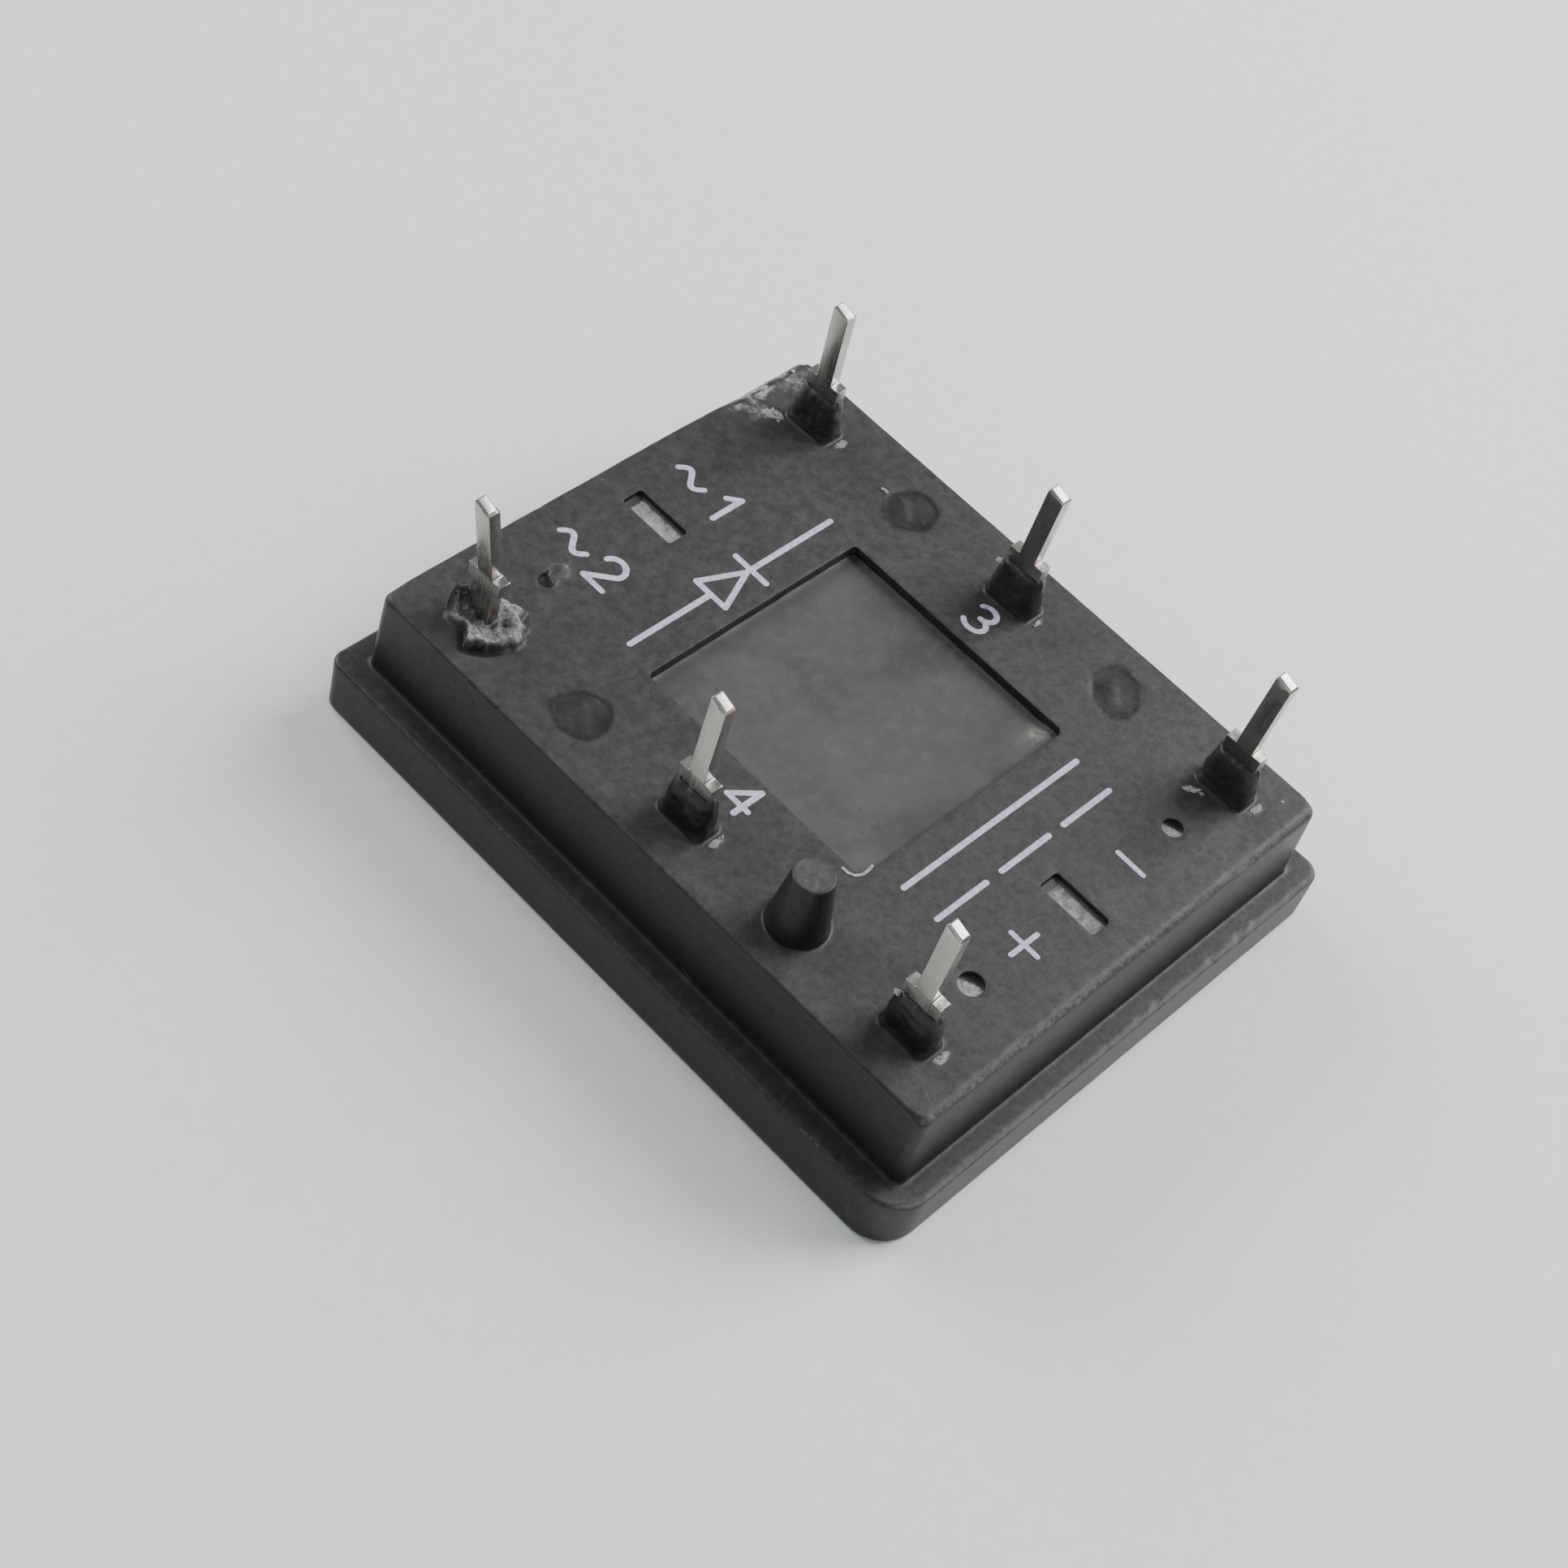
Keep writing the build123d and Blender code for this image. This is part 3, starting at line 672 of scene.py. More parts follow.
    # square window and the two slots: rounded lips and straight walls
    def opening(cx, cy, hx, hy, r, n_x, n_y, lip):
        o = outline(hx, hy, r, n_x, n_y, 5, cx, cy)
        rings = []
        for k in range(5):
            a = math.radians(90 * k / 4)
            ins = -lip * (1 - math.sin(a))
            z = TOP - lip * (1 - math.cos(a))
            pts = o(ins)
            wear = [max(0.0, (0.22 + 0.3 * fbm(x, y, 0, 0.6, 3, 71.0)) * math.sin(math.pi * k / 4)) for x, y in pts]
            rings.append(s.add([(x, y, z) for x, y in pts], wear=wear, gloss=0.3 * k / 4))
        for z in (9.12, 8.95, 8.75, 8.45, ROOF):
            rings.append(s.add([(x, y, z) for x, y in o()], gloss=0.35))
        for a, b in zip(rings, rings[1:]):
            s.strip(b, a)
        holes_top.append(rings[0])
        holes_roof.append(rings[-1])
        keep_top.append(lambda x, y: sd_box(x, y, hx + lip, hy + lip, r + lip, cx, cy))
        keep_roof.append(lambda x, y: sd_box(x, y, hx, hy, r, cx, cy))

    opening(0.0, 0.0, WINDOW, WINDOW, 0.3, 66, 66, 0.07)
    for cx, cy in SLOTS:
        opening(cx, cy, 0.7, 1.9, 0.2, 8, 20, 0.06)

    # mould dimples with rounded rims
    for cx, cy, r in DIMPLES:
        rings = []
        for rr, z, w in ((r + 0.08, TOP, 0.1), (r + 0.02, TOP - 0.02, 0.35), (r, TOP - 0.07, 0.2), (r * 0.97, TOP - 0.2, 0), (r * 0.88, TOP - 0.285, 0.45)):
            pts = [(cx + (x - cx) * (1 + 0.04 * n3(x, y, 0, 1.6, cx)), cy + (y - cy) * (1 + 0.04 * n3(x, y, 0, 1.6, cy))) for x, y in ring(cx, cy, rr, 40)]
            # a painted shadow crescent on the far (+X+Y) side of each dimple; pale lightens the near floor
            far = [smooth(0.05, 0.60, ((x - cx) * 0.94 + (y - cy) * 0.34) / r) for x, y in pts]
            rings.append(s.add([(x, y, z) for x, y in pts], wear=w, stain=[0.95 * q if z < TOP - 0.05 else 0.0 for q in far], pale=[0.5 * (1 - q) if z < TOP - 0.1 else 0.0 for q in far]))
        for f in (0.62, 0.34):
            pts = ring(cx, cy, r * f, 40)
            far = [smooth(0.15, 0.60, ((x - cx) * 0.94 + (y - cy) * 0.34) / r) for x, y in pts]
            rings.append(s.add([(x, y, TOP - 0.29 + 0.012 * n3(x, y, 0, 3.0)) for x, y in pts], pale=[0.60 * (1 - q) for q in far], stain=[0.9 * q for q in far]))
        for a, b in zip(rings, rings[1:]):
            s.strip(b, a)
        s.cap(rings[-1], (cx, cy, TOP - 0.29), pale=0.58)
        holes_top.append(rings[0])
        rad = r + 0.08
        keep_top.append(lambda x, y, cx=cx, cy=cy, rad=rad: sd_circle(x, y, cx, cy, rad))

    # torn dimple beside terminal AC2
    cx, cy, r0 = TORN
    rings = []
    n = 56

    def torn_r(i, f):
        a = 2 * math.pi * i / n
        ell = 1.35 + 0.55 * math.cos(2 * (a - math.radians(8)))
        return f * r0 * ell * (1 + 0.16 * n3(math.cos(a), math.sin(a), f, 1.5, 4.0))

    prof = ((1.30, 0.0, 0.10), (1.15, 0.035, 0.55), (1.02, 0.05, 0.85), (0.90, -0.04, 0.75), (0.74, -0.16, 0.45), (0.52, -0.25, 0.35), (0.28, -0.22, 0.55))
    for f, dz, rb in prof:
        pts, lit, dim = [], [], []
        for i in range(n):
            # painted light on the side towards +X, painted shadow on the side towards -X and in the bottom
            side = math.cos(2 * math.pi * i / n - math.radians(-25))
            lit.append((0.34 if f > 0.8 else 0.18) * smooth(0.0, 0.7, side) if f < 1.25 else 0.10 * smooth(0.2, 0.8, side))
            dim.append(smooth(0.35, -0.35, side) * (1.0 if f < 1.1 else 0.35))
            a = 2 * math.pi * i / n
            rr = torn_r(i, f)
            px, py = cx + rr * math.cos(a), cy + rr * math.sin(a)
            lift = dz * (1.0 + 0.7 * n3(px, py, f, 2.2, 8.0))
            pts.append((px, py, TOP + (lift if 0.3 < f < 1.25 else dz)))
        rings.append(s.add(pts, rubble=[rb * 0.45 * (1 - d) for d in dim], stain=dim, pale=lit))
    for a, b in zip(rings, rings[1:]):
        s.strip(b, a)
    s.cap(rings[-1], (cx, cy, TOP - 0.26), rubble=0.15, stain=0.8)
    holes_top.append(rings[0])
    torn_poly = [s.v[i][:2] for i in rings[0]]
    tx, ty = cx, cy
    keep_top.append(lambda x, y: 9.0 if math.hypot(x - tx, y - ty) > 2 else -0.1 if in_poly(x, y, torn_poly) else min(math.hypot(x - px, y - py) for px, py in torn_poly))

    # the round post: root radius, tapered side, rough sawn-looking top
    def post(x0, y0, height, seed):
        n = 72
        r_foot, taper = 1.72, 0.137
        rise = height - TOP
        r_top = r_foot - taper * rise
        root_r, edge = 0.14, 0.12
        rings = []

        def shape(rr, z, amp):
            pts = []
            for i in range(n):
                a = 2 * math.pi * i / n
                ca, sa = math.cos(a), math.sin(a)
                k = 1 + amp * fbm(ca * 2 + seed, sa * 2, z * 0.7, 0.8, 3, seed)
                pts.append((x0 + rr * k * ca, y0 + rr * k * sa, z))
            return pts

        rings.append(s.add(shape(r_foot + root_r, TOP, 0.0), gloss=0.2))
        for k in (1, 2, 3, 4):
            a = math.radians(90 * k / 4)
            rings.append(s.add(shape(r_foot + root_r * (1 - math.sin(a)), TOP + root_r * (1 - math.cos(a)), 0.008), gloss=0.4 + 0.6 * k / 4))
        steps = 11
        for k in range(1, steps + 1):
            z = lerp(TOP + root_r, height - edge, k / steps)
            # the post's side is painted dark, as shade
            rings.append(s.add(shape(r_foot - taper * (z - TOP), z, 0.016), gloss=1.0))
        for k in (1, 2, 3, 4):
            a = math.radians(90 * k / 4)
            rr = r_top + taper * edge - edge * (1 - math.cos(a)) * 0.9
            pts = [(x, y, z - 0.05 * k / 4 * max(0.0, 0.2 + 1.6 * fbm(x, y, 0, 1.1, 3, 19.0))) for x, y, z in shape(rr, height - edge * (1 - math.sin(a)), 0.030)]
            rings.append(s.add(pts, gloss=0.8 * (1 - k / 4), wear=0.30))
        r_in = math.hypot(s.v[rings[-1][0]][0] - x0, s.v[rings[-1][0]][1] - y0)
        for f in (0.88, 0.74, 0.58, 0.42, 0.27, 0.13):
            pts = [(x, y, height - 0.035 + 0.065 * fbm(x, y, 0, 1.5, 4, seed)) for x, y in ring(x0, y0, r_in * f, n)]
            rings.append(s.add(pts, rubble=0.14, wear=0.34))
        for a, b in zip(rings, rings[1:]):
            s.strip(a, b)
        s.cap(rings[-1], (x0, y0, height - 0.035), rubble=0.14, wear=0.34)
        holes_top.append(rings[0])
        rad = r_foot + root_r
        keep_top.append(lambda x, y: sd_circle(x, y, x0, y0, rad))

    post(*POST, 60.0)

    # collars round the strips: flat sides, lumpy edges, residue pressed against the metal
    def collar(x0, y0, height, seed, lump):
        rings = []
        foot = 0.16

        def shape(hx, hy, r, z, amp, sink=0.0):
            base = outline(hx, hy, r, 9, 15, 7, x0, y0)()
            pts = []
            for x, y in base:
                dx, dy = x - x0, y - y0
                d = math.hypot(dx, dy)
                k = amp * (1.2 * fbm(x, y, 0.6 * z, 0.75, 3, seed) + 0.45 * n3(x, y, z, 2.4, seed + 4.0))
                zz = z
                if sink:
                    zz -= sink * max(0.0, 0.5 + fbm(dx * 1.3, dy * 1.3, 0, 0.9, 3, seed + 9.0))
                pts.append((x + dx / d * k, y + dy / d * k, zz))
            return pts

        first = outline(COLLAR_HX + foot, COLLAR_HY + foot, COLLAR_R + foot, 9, 15, 7, x0, y0)()
        rings.append(s.add([(x, y, TOP) for x, y in first], gloss=0.15))
        span = height - TOP
        for k in (1, 2, 3):
            a = math.radians(90 * k / 3)
            e = foot * (1 - math.sin(a))
            # the foot is painted darker on the -X side, as shade
            pts = shape(COLLAR_HX + e, COLLAR_HY + e, COLLAR_R + e, TOP + foot * (1 - math.cos(a)), 0.03)
            rings.append(s.add(pts, gloss=[0.35 + 0.5 * k / 3 if x < x0 + 0.3 else 0.3 for x, y, z in pts]))
        edge = 0.50
        steps = 12
        for k in range(1, steps + 1):
            z = lerp(TOP + foot, height - edge, k / steps)
            off = COLLAR_DRAW * (z - TOP)
            swell = 0.10 * lump * math.sin(math.pi * k / steps)
            pts = shape(COLLAR_HX - off - 0.06 + swell * 0.5, COLLAR_HY - off - 0.06 + swell, COLLAR_R + 0.22, z, 0.16)
            # the -X front is painted dark as shade and the -Y side painted pale as light
            gl, pl = [], []
            for x, y, zz in pts:
                front = smooth(0.30, -0.35, x - x0)
                side = smooth(-0.5, -1.3, y - y0)
                gl.append((1.0 if x0 < 0 else 0.42) * max(front, 0.35) * (1.0 - 0.45 * side * (1 - front)))
                pl.append(0.22 * side * (0.7 + n3(x, y, zz, 0.9, seed)) * smooth(0.2, 0.9, lump))
            rings.append(s.add(pts, gloss=gl, pale=pl))
        top_hx, top_hy = COLLAR_HX - COLLAR_DRAW * span, COLLAR_HY - COLLAR_DRAW * span
        for k in (1, 2, 3, 4, 5):
            a = math.radians(90 * k / 5)
            e = edge * (1 - math.cos(a)) * 0.62
            pts = shape(top_hx - 0.06 - e, top_hy - 0.06 - e, max(0.22, COLLAR_R + 0.22 - e), height - edge * (1 - math.sin(a)), 0.14, 0.16 * k / 5)
            rings.append(s.add(pts, gloss=0.55 * (1 - k / 5), wear=0.12 + 0.2 * k / 5, pale=[0.20 * k / 5 * (0.6 + n3(x, y, z, 1.2, seed)) for x, y, z in pts]))
        # residue creeping up the strip
        for f, up in ((0.78, 0.00), (0.55, 0.05), (0.30, 0.03), (0.10, 0.0)):
            hx, hy = (top_hx - 0.36) * f, (top_hy - 0.36) * f
            pts = shape(hx, hy, min(hx, hy) * 0.6, height - 0.03 + up, 0.04, 0.06)
            rings.append(s.add(pts, wear=0.25, pale=0.22))
        for a, b in zip(rings, rings[1:]):
            s.strip(a, b)
        s.cap(rings[-1], (x0, y0, height - 0.05), pale=0.2)
        holes_top.append(rings[0])
        hx, hy, r = COLLAR_HX + foot, COLLAR_HY + foot, COLLAR_R + foot
        keep_top.append(lambda x, y: sd_box(x, y, hx, hy, r, x0, y0))

    for k, (x0, y0, h) in enumerate(COLLARS):
        collar(x0, y0, h, 3.0 + 7.1 * k, (0.55, 0.9, 0.8, 0.4, 0.6)[k])

    # the broken collar: a raised crumbling stump, part of its wall still standing
    bx, by, bh = BROKEN
    RB = 2.75

    def stump(x, y):
        """Height above the top face, and paint, at a point of the broken collar."""
        u, v = x - bx, y - by
        d = math.hypot(u, v)
        ang = math.atan2(v + 0.55, u + 0.20)
        rag = 0.34 * n3(math.cos(ang) * 1.5, math.sin(ang) * 1.5, 0, 1.0, 17.0) + 0.13 * n3(math.cos(ang) * 4, math.sin(ang) * 4, 0, 1.0, 31.0)
        q = ((abs(u + 0.14) / 1.42) ** 2.7 + (abs(v + 0.74) / 1.50) ** 2.7) ** (1 / 2.7) * (1 + 1.15 * rag)
        west = smooth(0.45, 0.92, math.cos(ang - math.radians(204)))
        steep = lerp(0.34, 0.08, west)
        mass = smooth(1.0 + steep, 1.0 - steep * 0.3, q)
        crumb = 0.5 + fbm(u, v, 0, 1.15, 3, 71.0)
        grit = fbm(u, v, 0, 3.4, 3, 72.0)
        cell, _ = noise.voronoi(Vector((u * 2.3 + 5, v * 2.3, 0.3)), distance_metric="DISTANCE", exponent=2.5)
        crack = smooth(0.10, 0.0, cell[1] - cell[0])
        h = mass * (0.34 + 0.34 * crumb + 0.16 * smooth(0.45, 0.95, q) + 0.09 * grit - 0.08 * crack)
        hole = 0.8 * math.exp(-(((u + 0.10) / 0.30) ** 2 + ((v + 0.95) / 0.14) ** 2)) + math.exp(-(((u - 0.48) / 0.16) ** 2 + ((v + 1.30) / 0.24) ** 2))
        h -= 0.40 * hole * mass
        trench = smooth(0.50, 0.84, math.cos(ang - math.radians(206))) * smooth(1.00, 1.10, q) * smooth(1.48, 1.26, q)
        h -= 0.42 * trench
        # the piece of wall left standing at the +Y side
        wx = smooth(0.80, 0.66, abs(u + 0.38 + 0.14 * n3(v * 3, 0, 0, 1.0, 3.0)))
        wy = smooth(0.50, 0.38, abs(v - 1.12 + 0.10 * n3(u * 3, 0, 0, 1.0, 6.0)))
        keep_wall = wx * wy
        wall_h = 1.62 - 0.55 * smooth(-0.3, 0.5, u) + 0.20 * n3(u, v, 0, 2.0, 40.0)
        h = lerp(h, max(h, wall_h), keep_wall)
        # residue spread towards +X and -Y
        wa = math.atan2(v, u)
        fan = smooth(math.radians(-104), math.radians(-84), wa) * smooth(math.radians(12), math.radians(-8), wa)
        rim = smooth(2.30 + 0.50 * n3(wa * 3, 0, 0, 1.0, 12.0), 1.55, d)
        spread = fan * rim * smooth(0.9, 1.35, d)
        h = max(h, spread * (0.07 + 0.10 * crumb + 0.03 * grit))
        fade = smooth(RB, RB - 0.25, d)
        h *= fade
        on_top = smooth(0.14, 0.28, h)
        rub = min(1.0, mass * on_top * 1.1) * (1 - keep_wall)
        pl = max(0.34 * spread * (1 - mass * 0.6), rub * (0.12 + 0.22 * smooth(0.35, 0.75, crumb)) + 0.42 * rub * smooth(0.62, 0.95, q))
        # the west face, the trench and the holes are painted dark: painted shade
        face = west * smooth(0.97, 1.05, q) * smooth(1.55, 1.32, q)
        st = max(face, trench, 0.8 * min(1.0, hole) * mass)
        return h, rub * (1 - 0.8 * face), pl * (1 - face) * (1 - keep_wall), st, max(keep_wall, 0.8 * face)

    circle = s.add([(x, y, TOP) for x, y in ring(bx, by, RB, 96)])
    first = len(s.v)
    s.fill([circle], hexgrid(bx - RB, bx + RB, by - RB, by + RB, 0.072, lambda x, y: sd_circle(x, y, bx, by, RB) < -0.09, seed=77), TOP, lambda x, y: sd_circle(x, y, bx, by, RB) < 1e-3)
    for i in range(first, len(s.v)):
        x, y, z = s.v[i]
        h, rub, pl, st, gl = stump(x, y)
        s.v[i] = (x, y, TOP + h)
        for c, val in zip(("rubble", "pale", "stain", "gloss"), (rub, pl, st, gl)):
            s.a[c][i] = max(0.0, val)
    holes_top.append(circle)
    keep_top.append(lambda x, y: sd_circle(x, y, bx, by, RB))

    # top face
    rim_poly = [s.v[i][:2] for i in rim]

    def near_feature(x, y):
        near = min(sd_circle(x, y, mx, my, 1.62) for mx, my in BLANKS)
        return min(near, sd_box(x, y, 3.4, 1.9, 0.5, 12.3, 18.2), min(sd_circle(x, y, qx + 0.3, qy - 0.9, 1.9) for qx, qy, _h in COLLARS))

    def inside_rim(x, y, m=0.0):
        """True where (x, y) lies inside the worn rim by at least m."""
        if sd_box(x, y, TOP_HX - 1.0, TOP_HY - 1.0, 0.1) < 0:
            return True
        if m and min((px - x) ** 2 + (py - y) ** 2 for px, py in rim_poly) < m * m:
            return False
        return in_poly(x, y, rim_poly)

    def ok(x, y, m):
        if any(fn(x, y) < m * 0.55 for fn in keep_top):
            return False
        return inside_rim(x, y, m * 0.6)

    def coarse_ok(x, y):
        return near_feature(x, y) > 0.12 and ok(x, y, 0.30)

    inner_pts = hexgrid(-TOP_HX, TOP_HX, -TOP_HY, TOP_HY, 0.30, coarse_ok, seed=2)
    inner_pts += hexgrid(-TOP_HX, TOP_HX, -TOP_HY, TOP_HY, 0.15, lambda x, y: near_feature(x, y) <= 0.12 and ok(x, y, 0.15), seed=3)

    def keep(x, y):
        return all(fn(x, y) > -1e-4 for fn in keep_top) and inside_rim(x, y)

    first_inner = len(s.v)
    s.fill([rim] + holes_top, inner_pts, TOP, keep)
    for i in range(first_inner, len(s.v)):
        x, y, z = s.v[i]
        st = 0.0
        for k, (mx, my) in enumerate(BLANKS):
            d = math.hypot(x - mx, y - my)
            if d < 2.1:
                e = d * (1 + 0.10 * n3(x, y, 0, 0.9, 3.0 * k))
                p, q = ((x - mx) - (y - my)) / 1.414, ((x - mx) + (y - my)) / 1.414
                long = math.hypot(p * (1.18 if k == 1 else 1.0), q * (0.86 if k == 1 else 1.0)) * (1 + 0.16 * n3(x, y, 0, 0.8, 5.0 + 3.0 * k))
                streak = math.exp(-((p + 0.15 - 0.2 * k) / 0.24) ** 2) * smooth(1.35, 0.5, abs(q))
                blot = smooth(1.72, 1.36, long) * (0.62 + 0.5 * n3(x, y, 0, 0.75, 4.0 * k + 1)) * (1 - 0.85 * streak)
                st = max(st, blot, 0.75 * smooth(1.72, 1.58, long) * smooth(1.30, 1.44, long))
                groove = -0.045 * smooth(1.62, 1.42, e) + 0.03 * smooth(1.1, 0.3, e) * (0.5 + n3(x, y, 0, 1.2, 9.0 * k))
                z += groove
        s.a["stain"][i] = max(0.0, st)
        # rub marks near the bosses, the knocked corner and the -Y edge
        w = 0.0
        w = max(w, 0.62 * smooth(2.6, 0.2, math.hypot((x - 14.3) / 1.5, (y - 19.1) / 0.8)))
        pale = max(
            0.0,
            0.74 * smooth(1.0, 0.1, math.hypot((x - 11.0) / 3.8, (y - 19.65) / 1.15)) * (0.75 + 0.9 * n3(x, y, 0, 0.9, 83.0)),
            0.72 * smooth(1.0, 0.1, math.hypot((x - 14.4) / 1.7, (y - 19.1) / 1.5)) * (0.75 + 0.7 * n3(x, y, 0, 0.9, 84.0)),
            0.80 * smooth(1.0, 0.35, math.hypot((x - 11.20 + 0.5 * (y - 17.9)) / 0.60, (y - 17.9) / 1.00)),
            0.40 * smooth(1.0, 0.2, math.hypot((x - 10.6) / 1.9, (y - 18.6) / 1.8)),
            0.78 * smooth(1.0, 0.35, math.hypot((x - 11.0 + 0.5 * (y + 15.0)) / 0.42, (y + 15.0) / 0.80)),
        )
        s.a["pale"][i] = pale
        w = max(w, 0.45 * smooth(0.9, 0.1, TOP_HY + y) * (0.6 + 0.6 * n3(x, y, 0, 0.6, 2.0)))
        w = max(w, 0.38 * smooth(0.8, 0.1, TOP_HY - y))
        for qx, qy, _h in COLLARS + [BROKEN]:
            d = math.hypot(x - qx, y - qy)
            w = max(w, 0.30 * smooth(3.0, 1.9, d) * (0.5 + 0.9 * n3(x, y, 0, 0.8, qx + qy)))
            if (qx, qy) != BROKEN[:2]:
                pale = max(pale, (0.74 if qy < -10 or qx > 0 else 0.55) * smooth(1.0, 0.30, math.hypot((x - qx - 0.10) / 1.05, (y - qy + 2.00) / 0.48)) * (0.85 + 0.5 * n3(x, y, 0, 1.4, qx - qy)))
        z += 0.07 * pale * (0.4 + max(0.0, fbm(x, y, 0, 1.5, 3, 81.0)) * 1.6)
        s.a["pale"][i] = pale
        s.a["wear"][i] = max(0.0, w)
        s.v[i] = (x, y, z)

    # roof underside
    roof_pts = hexgrid(-CAV_HX, CAV_HX, -CAV_HY, CAV_HY, 1.4, lambda x, y: sd_box(x, y, CAV_HX, CAV_HY, 0.8) < -0.7 and all(fn(x, y) > 0.6 for fn in keep_roof), seed=5)
    s.fill([roof_edge] + holes_roof, roof_pts, ROOF, lambda x, y: sd_box(x, y, CAV_HX, CAV_HY, 0.8) < 1e-3 and all(fn(x, y) > -1e-4 for fn in keep_roof), flip=True)

    o = s.object("case_shell", merge=0.0005)

    # fine unevenness everywhere that shows, always inwards
    me = o.data
    normals = [v.normal.copy() for v in me.vertices]
    wear = [d.value for d in me.attributes["wear"].data]
    rub = [d.value for d in me.attributes["rubble"].data]
    for v, nrm, w, r in zip(me.vertices, normals, wear, rub):
        x, y, z = (c / MM for c in v.co)
        if z < CASE_Z0 + 0.02 or (z < ROOF + 0.01 and abs(x) < REC_HX + 0.01 and abs(y) < REC_HY + 0.01):
            continue
        d = 0.010 * (1 + fbm(x, y, z, 0.30, 3, 1.0)) + 0.006 * (1 + fbm(x, y, z, 1.4, 3, 2.0))
        d += 0.05 * w * max(0.0, fbm(x, y, z, 1.9, 4, 3.0))
        d += 0.05 * r * (0.5 + fbm(x, y, z, 2.6, 4, 4.0))
        v.co -= nrm * (d * MM)
    me.update()
    return o


case = build_case()
dress(case, "case_moulding")
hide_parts("case")


# ---------------------------------------------------------------- potting
def build_potting():
    s = Shell()
    e = 0.012
    cav = outline(CAV_HX - 0.005, CAV_HY - 0.005, 0.8, 50, 64, 6)
    bottom = s.add([(x, y, GEL_TOP) for x, y in cav()])
    upper = s.add([(x, y, ROOF - 0.004) for x, y in cav()])
    s.strip(bottom, upper)
    s.fill([bottom], hexgrid(-CAV_HX, CAV_HX, -CAV_HY, CAV_HY, 3.0, lambda x, y: sd_box(x, y, CAV_HX, CAV_HY, 0.8) < -1.0, seed=8), GEL_TOP, lambda x, y: sd_box(x, y, CAV_HX, CAV_HY, 0.8) < 1e-3, flip=True)
    holes, sds = [], []

    def pool(cx, cy, hx, hy, r, n_x, n_y, level, spacing, seed, lift):
        o = outline(hx + e, hy + e, r, n_x, n_y, 5, cx, cy)

        def surf(x, y):
            d = -sd_box(x, y, hx, hy, r, cx, cy)
            creep = lift * math.exp(-max(d, 0) / 0.16) * (0.75 + 0.6 * n3(x, y, 0, 0.7, seed))
            dish = -0.05 * smooth(0.0, 3.0, d) if hx > 3 else -0.03 * smooth(0, 0.7, d)
            flow = 0.022 * fbm(x, y, 0, 0.22, 3, seed) + 0.008 * fbm(x, y, 0, 1.1, 3, seed + 2)
            bump = 0.0
            if hx > 3:
                bump = 0.30 * math.exp(-(((x - 7.3) / 0.9) ** 2 + ((y + 7.4) / 0.7) ** 2)) * (0.7 + 0.5 * n3(x, y, 0, 1.2, 5.0))
                bump += 0.22 * math.exp(-(((x + 7.4) / 1.2) ** 2 + ((y + 6.9) / 1.6) ** 2))
            return level + creep + dish + flow + bump

        low = s.add([(x, y, ROOF - 0.004) for x, y in o()])
        mid = s.add([(x, y, surf(x, y)) for x, y in o()])
        s.strip(low, mid)
        prev = mid
        for d in (0.05, 0.12, 0.22, 0.36):
            pts = outline(hx + e - d, hy + e - d, max(0.05, r - d * 0.5), n_x, n_y, 5, cx, cy)()
            nxt = s.add([(x, y, surf(x, y)) for x, y in pts])
            s.strip(prev, nxt)
            prev = nxt
        hx2, hy2 = hx + e - 0.36, hy + e - 0.36
        pts = hexgrid(cx - hx, cx + hx, cy - hy, cy + hy, spacing, lambda x, y: sd_box(x, y, hx2, hy2, 0.1, cx, cy) < -spacing * 0.55, seed=int(seed))
        first = len(s.v)
        s.fill([prev], pts, surf, lambda x, y: sd_box(x, y, hx2, hy2, 0.04, cx, cy) < 2e-3)
        for i in range(first if hx > 3 else mid[0], len(s.v)):
            x, y, z = s.v[i]
            if hx > 3:
                c1 = math.exp(-(((x - 7.2) / 0.8) ** 2 + ((y + 7.2) / 0.6) ** 2))
                s.a["rubble"][i] = min(1.0, 1.2 * c1)
                # painted shade along the window's -Y wall
                s.a["stain"][i] = 0.75 * smooth(1.6, 0.0, 8 + y - 0.25 * (x + 8)) * smooth(-8.0, -4.0, x) * 0.5 + 0.5 * smooth(2.2, 0.0, math.hypot((x + 4.0) / 2.2, (y + 7.3) / 0.8))
            else:
                # painted shade along the +X wall and the +Y end, where the walls shadow the floor; the rest of the
                # floor is painted pale
                shade = max(smooth(0.46, 0.60, x - cx), smooth(1.45, 1.62, y - cy))
                s.a["pale"][i] = (0.58 if cy > 0 else 0.50) * (1 - shade) - 0.3 * shade
                s.a["stain"][i] = shade
        holes.append(low)
        sds.append(lambda x, y: sd_box(x, y, hx + e, hy + e, r, cx, cy))

    pool(0.0, 0.0, WINDOW, WINDOW, 0.3, 52, 52, WINDOW_LEVEL - 0.03, 0.26, 11, 0.10)
    for k, (cx, cy) in enumerate(SLOTS):
        pool(cx, cy, 0.7, 1.9, 0.2, 10, 24, SLOT_LEVEL - 0.02, 0.14, 31 + k, 0.06)
    s.fill([upper] + holes, hexgrid(-CAV_HX, CAV_HX, -CAV_HY, CAV_HY, 2.2, lambda x, y: sd_box(x, y, CAV_HX, CAV_HY, 0.8) < -0.8 and all(fn(x, y) > 0.6 for fn in sds), seed=9), ROOF - 0.004, lambda x, y: sd_box(x, y, CAV_HX, CAV_HY, 0.8) < 1e-3 and all(fn(x, y) > -1e-4 for fn in sds))
    return s.object("potting_fill", merge=0.0005)


potting = build_potting()
dress(potting, "potting")
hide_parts("epoxy_potting")


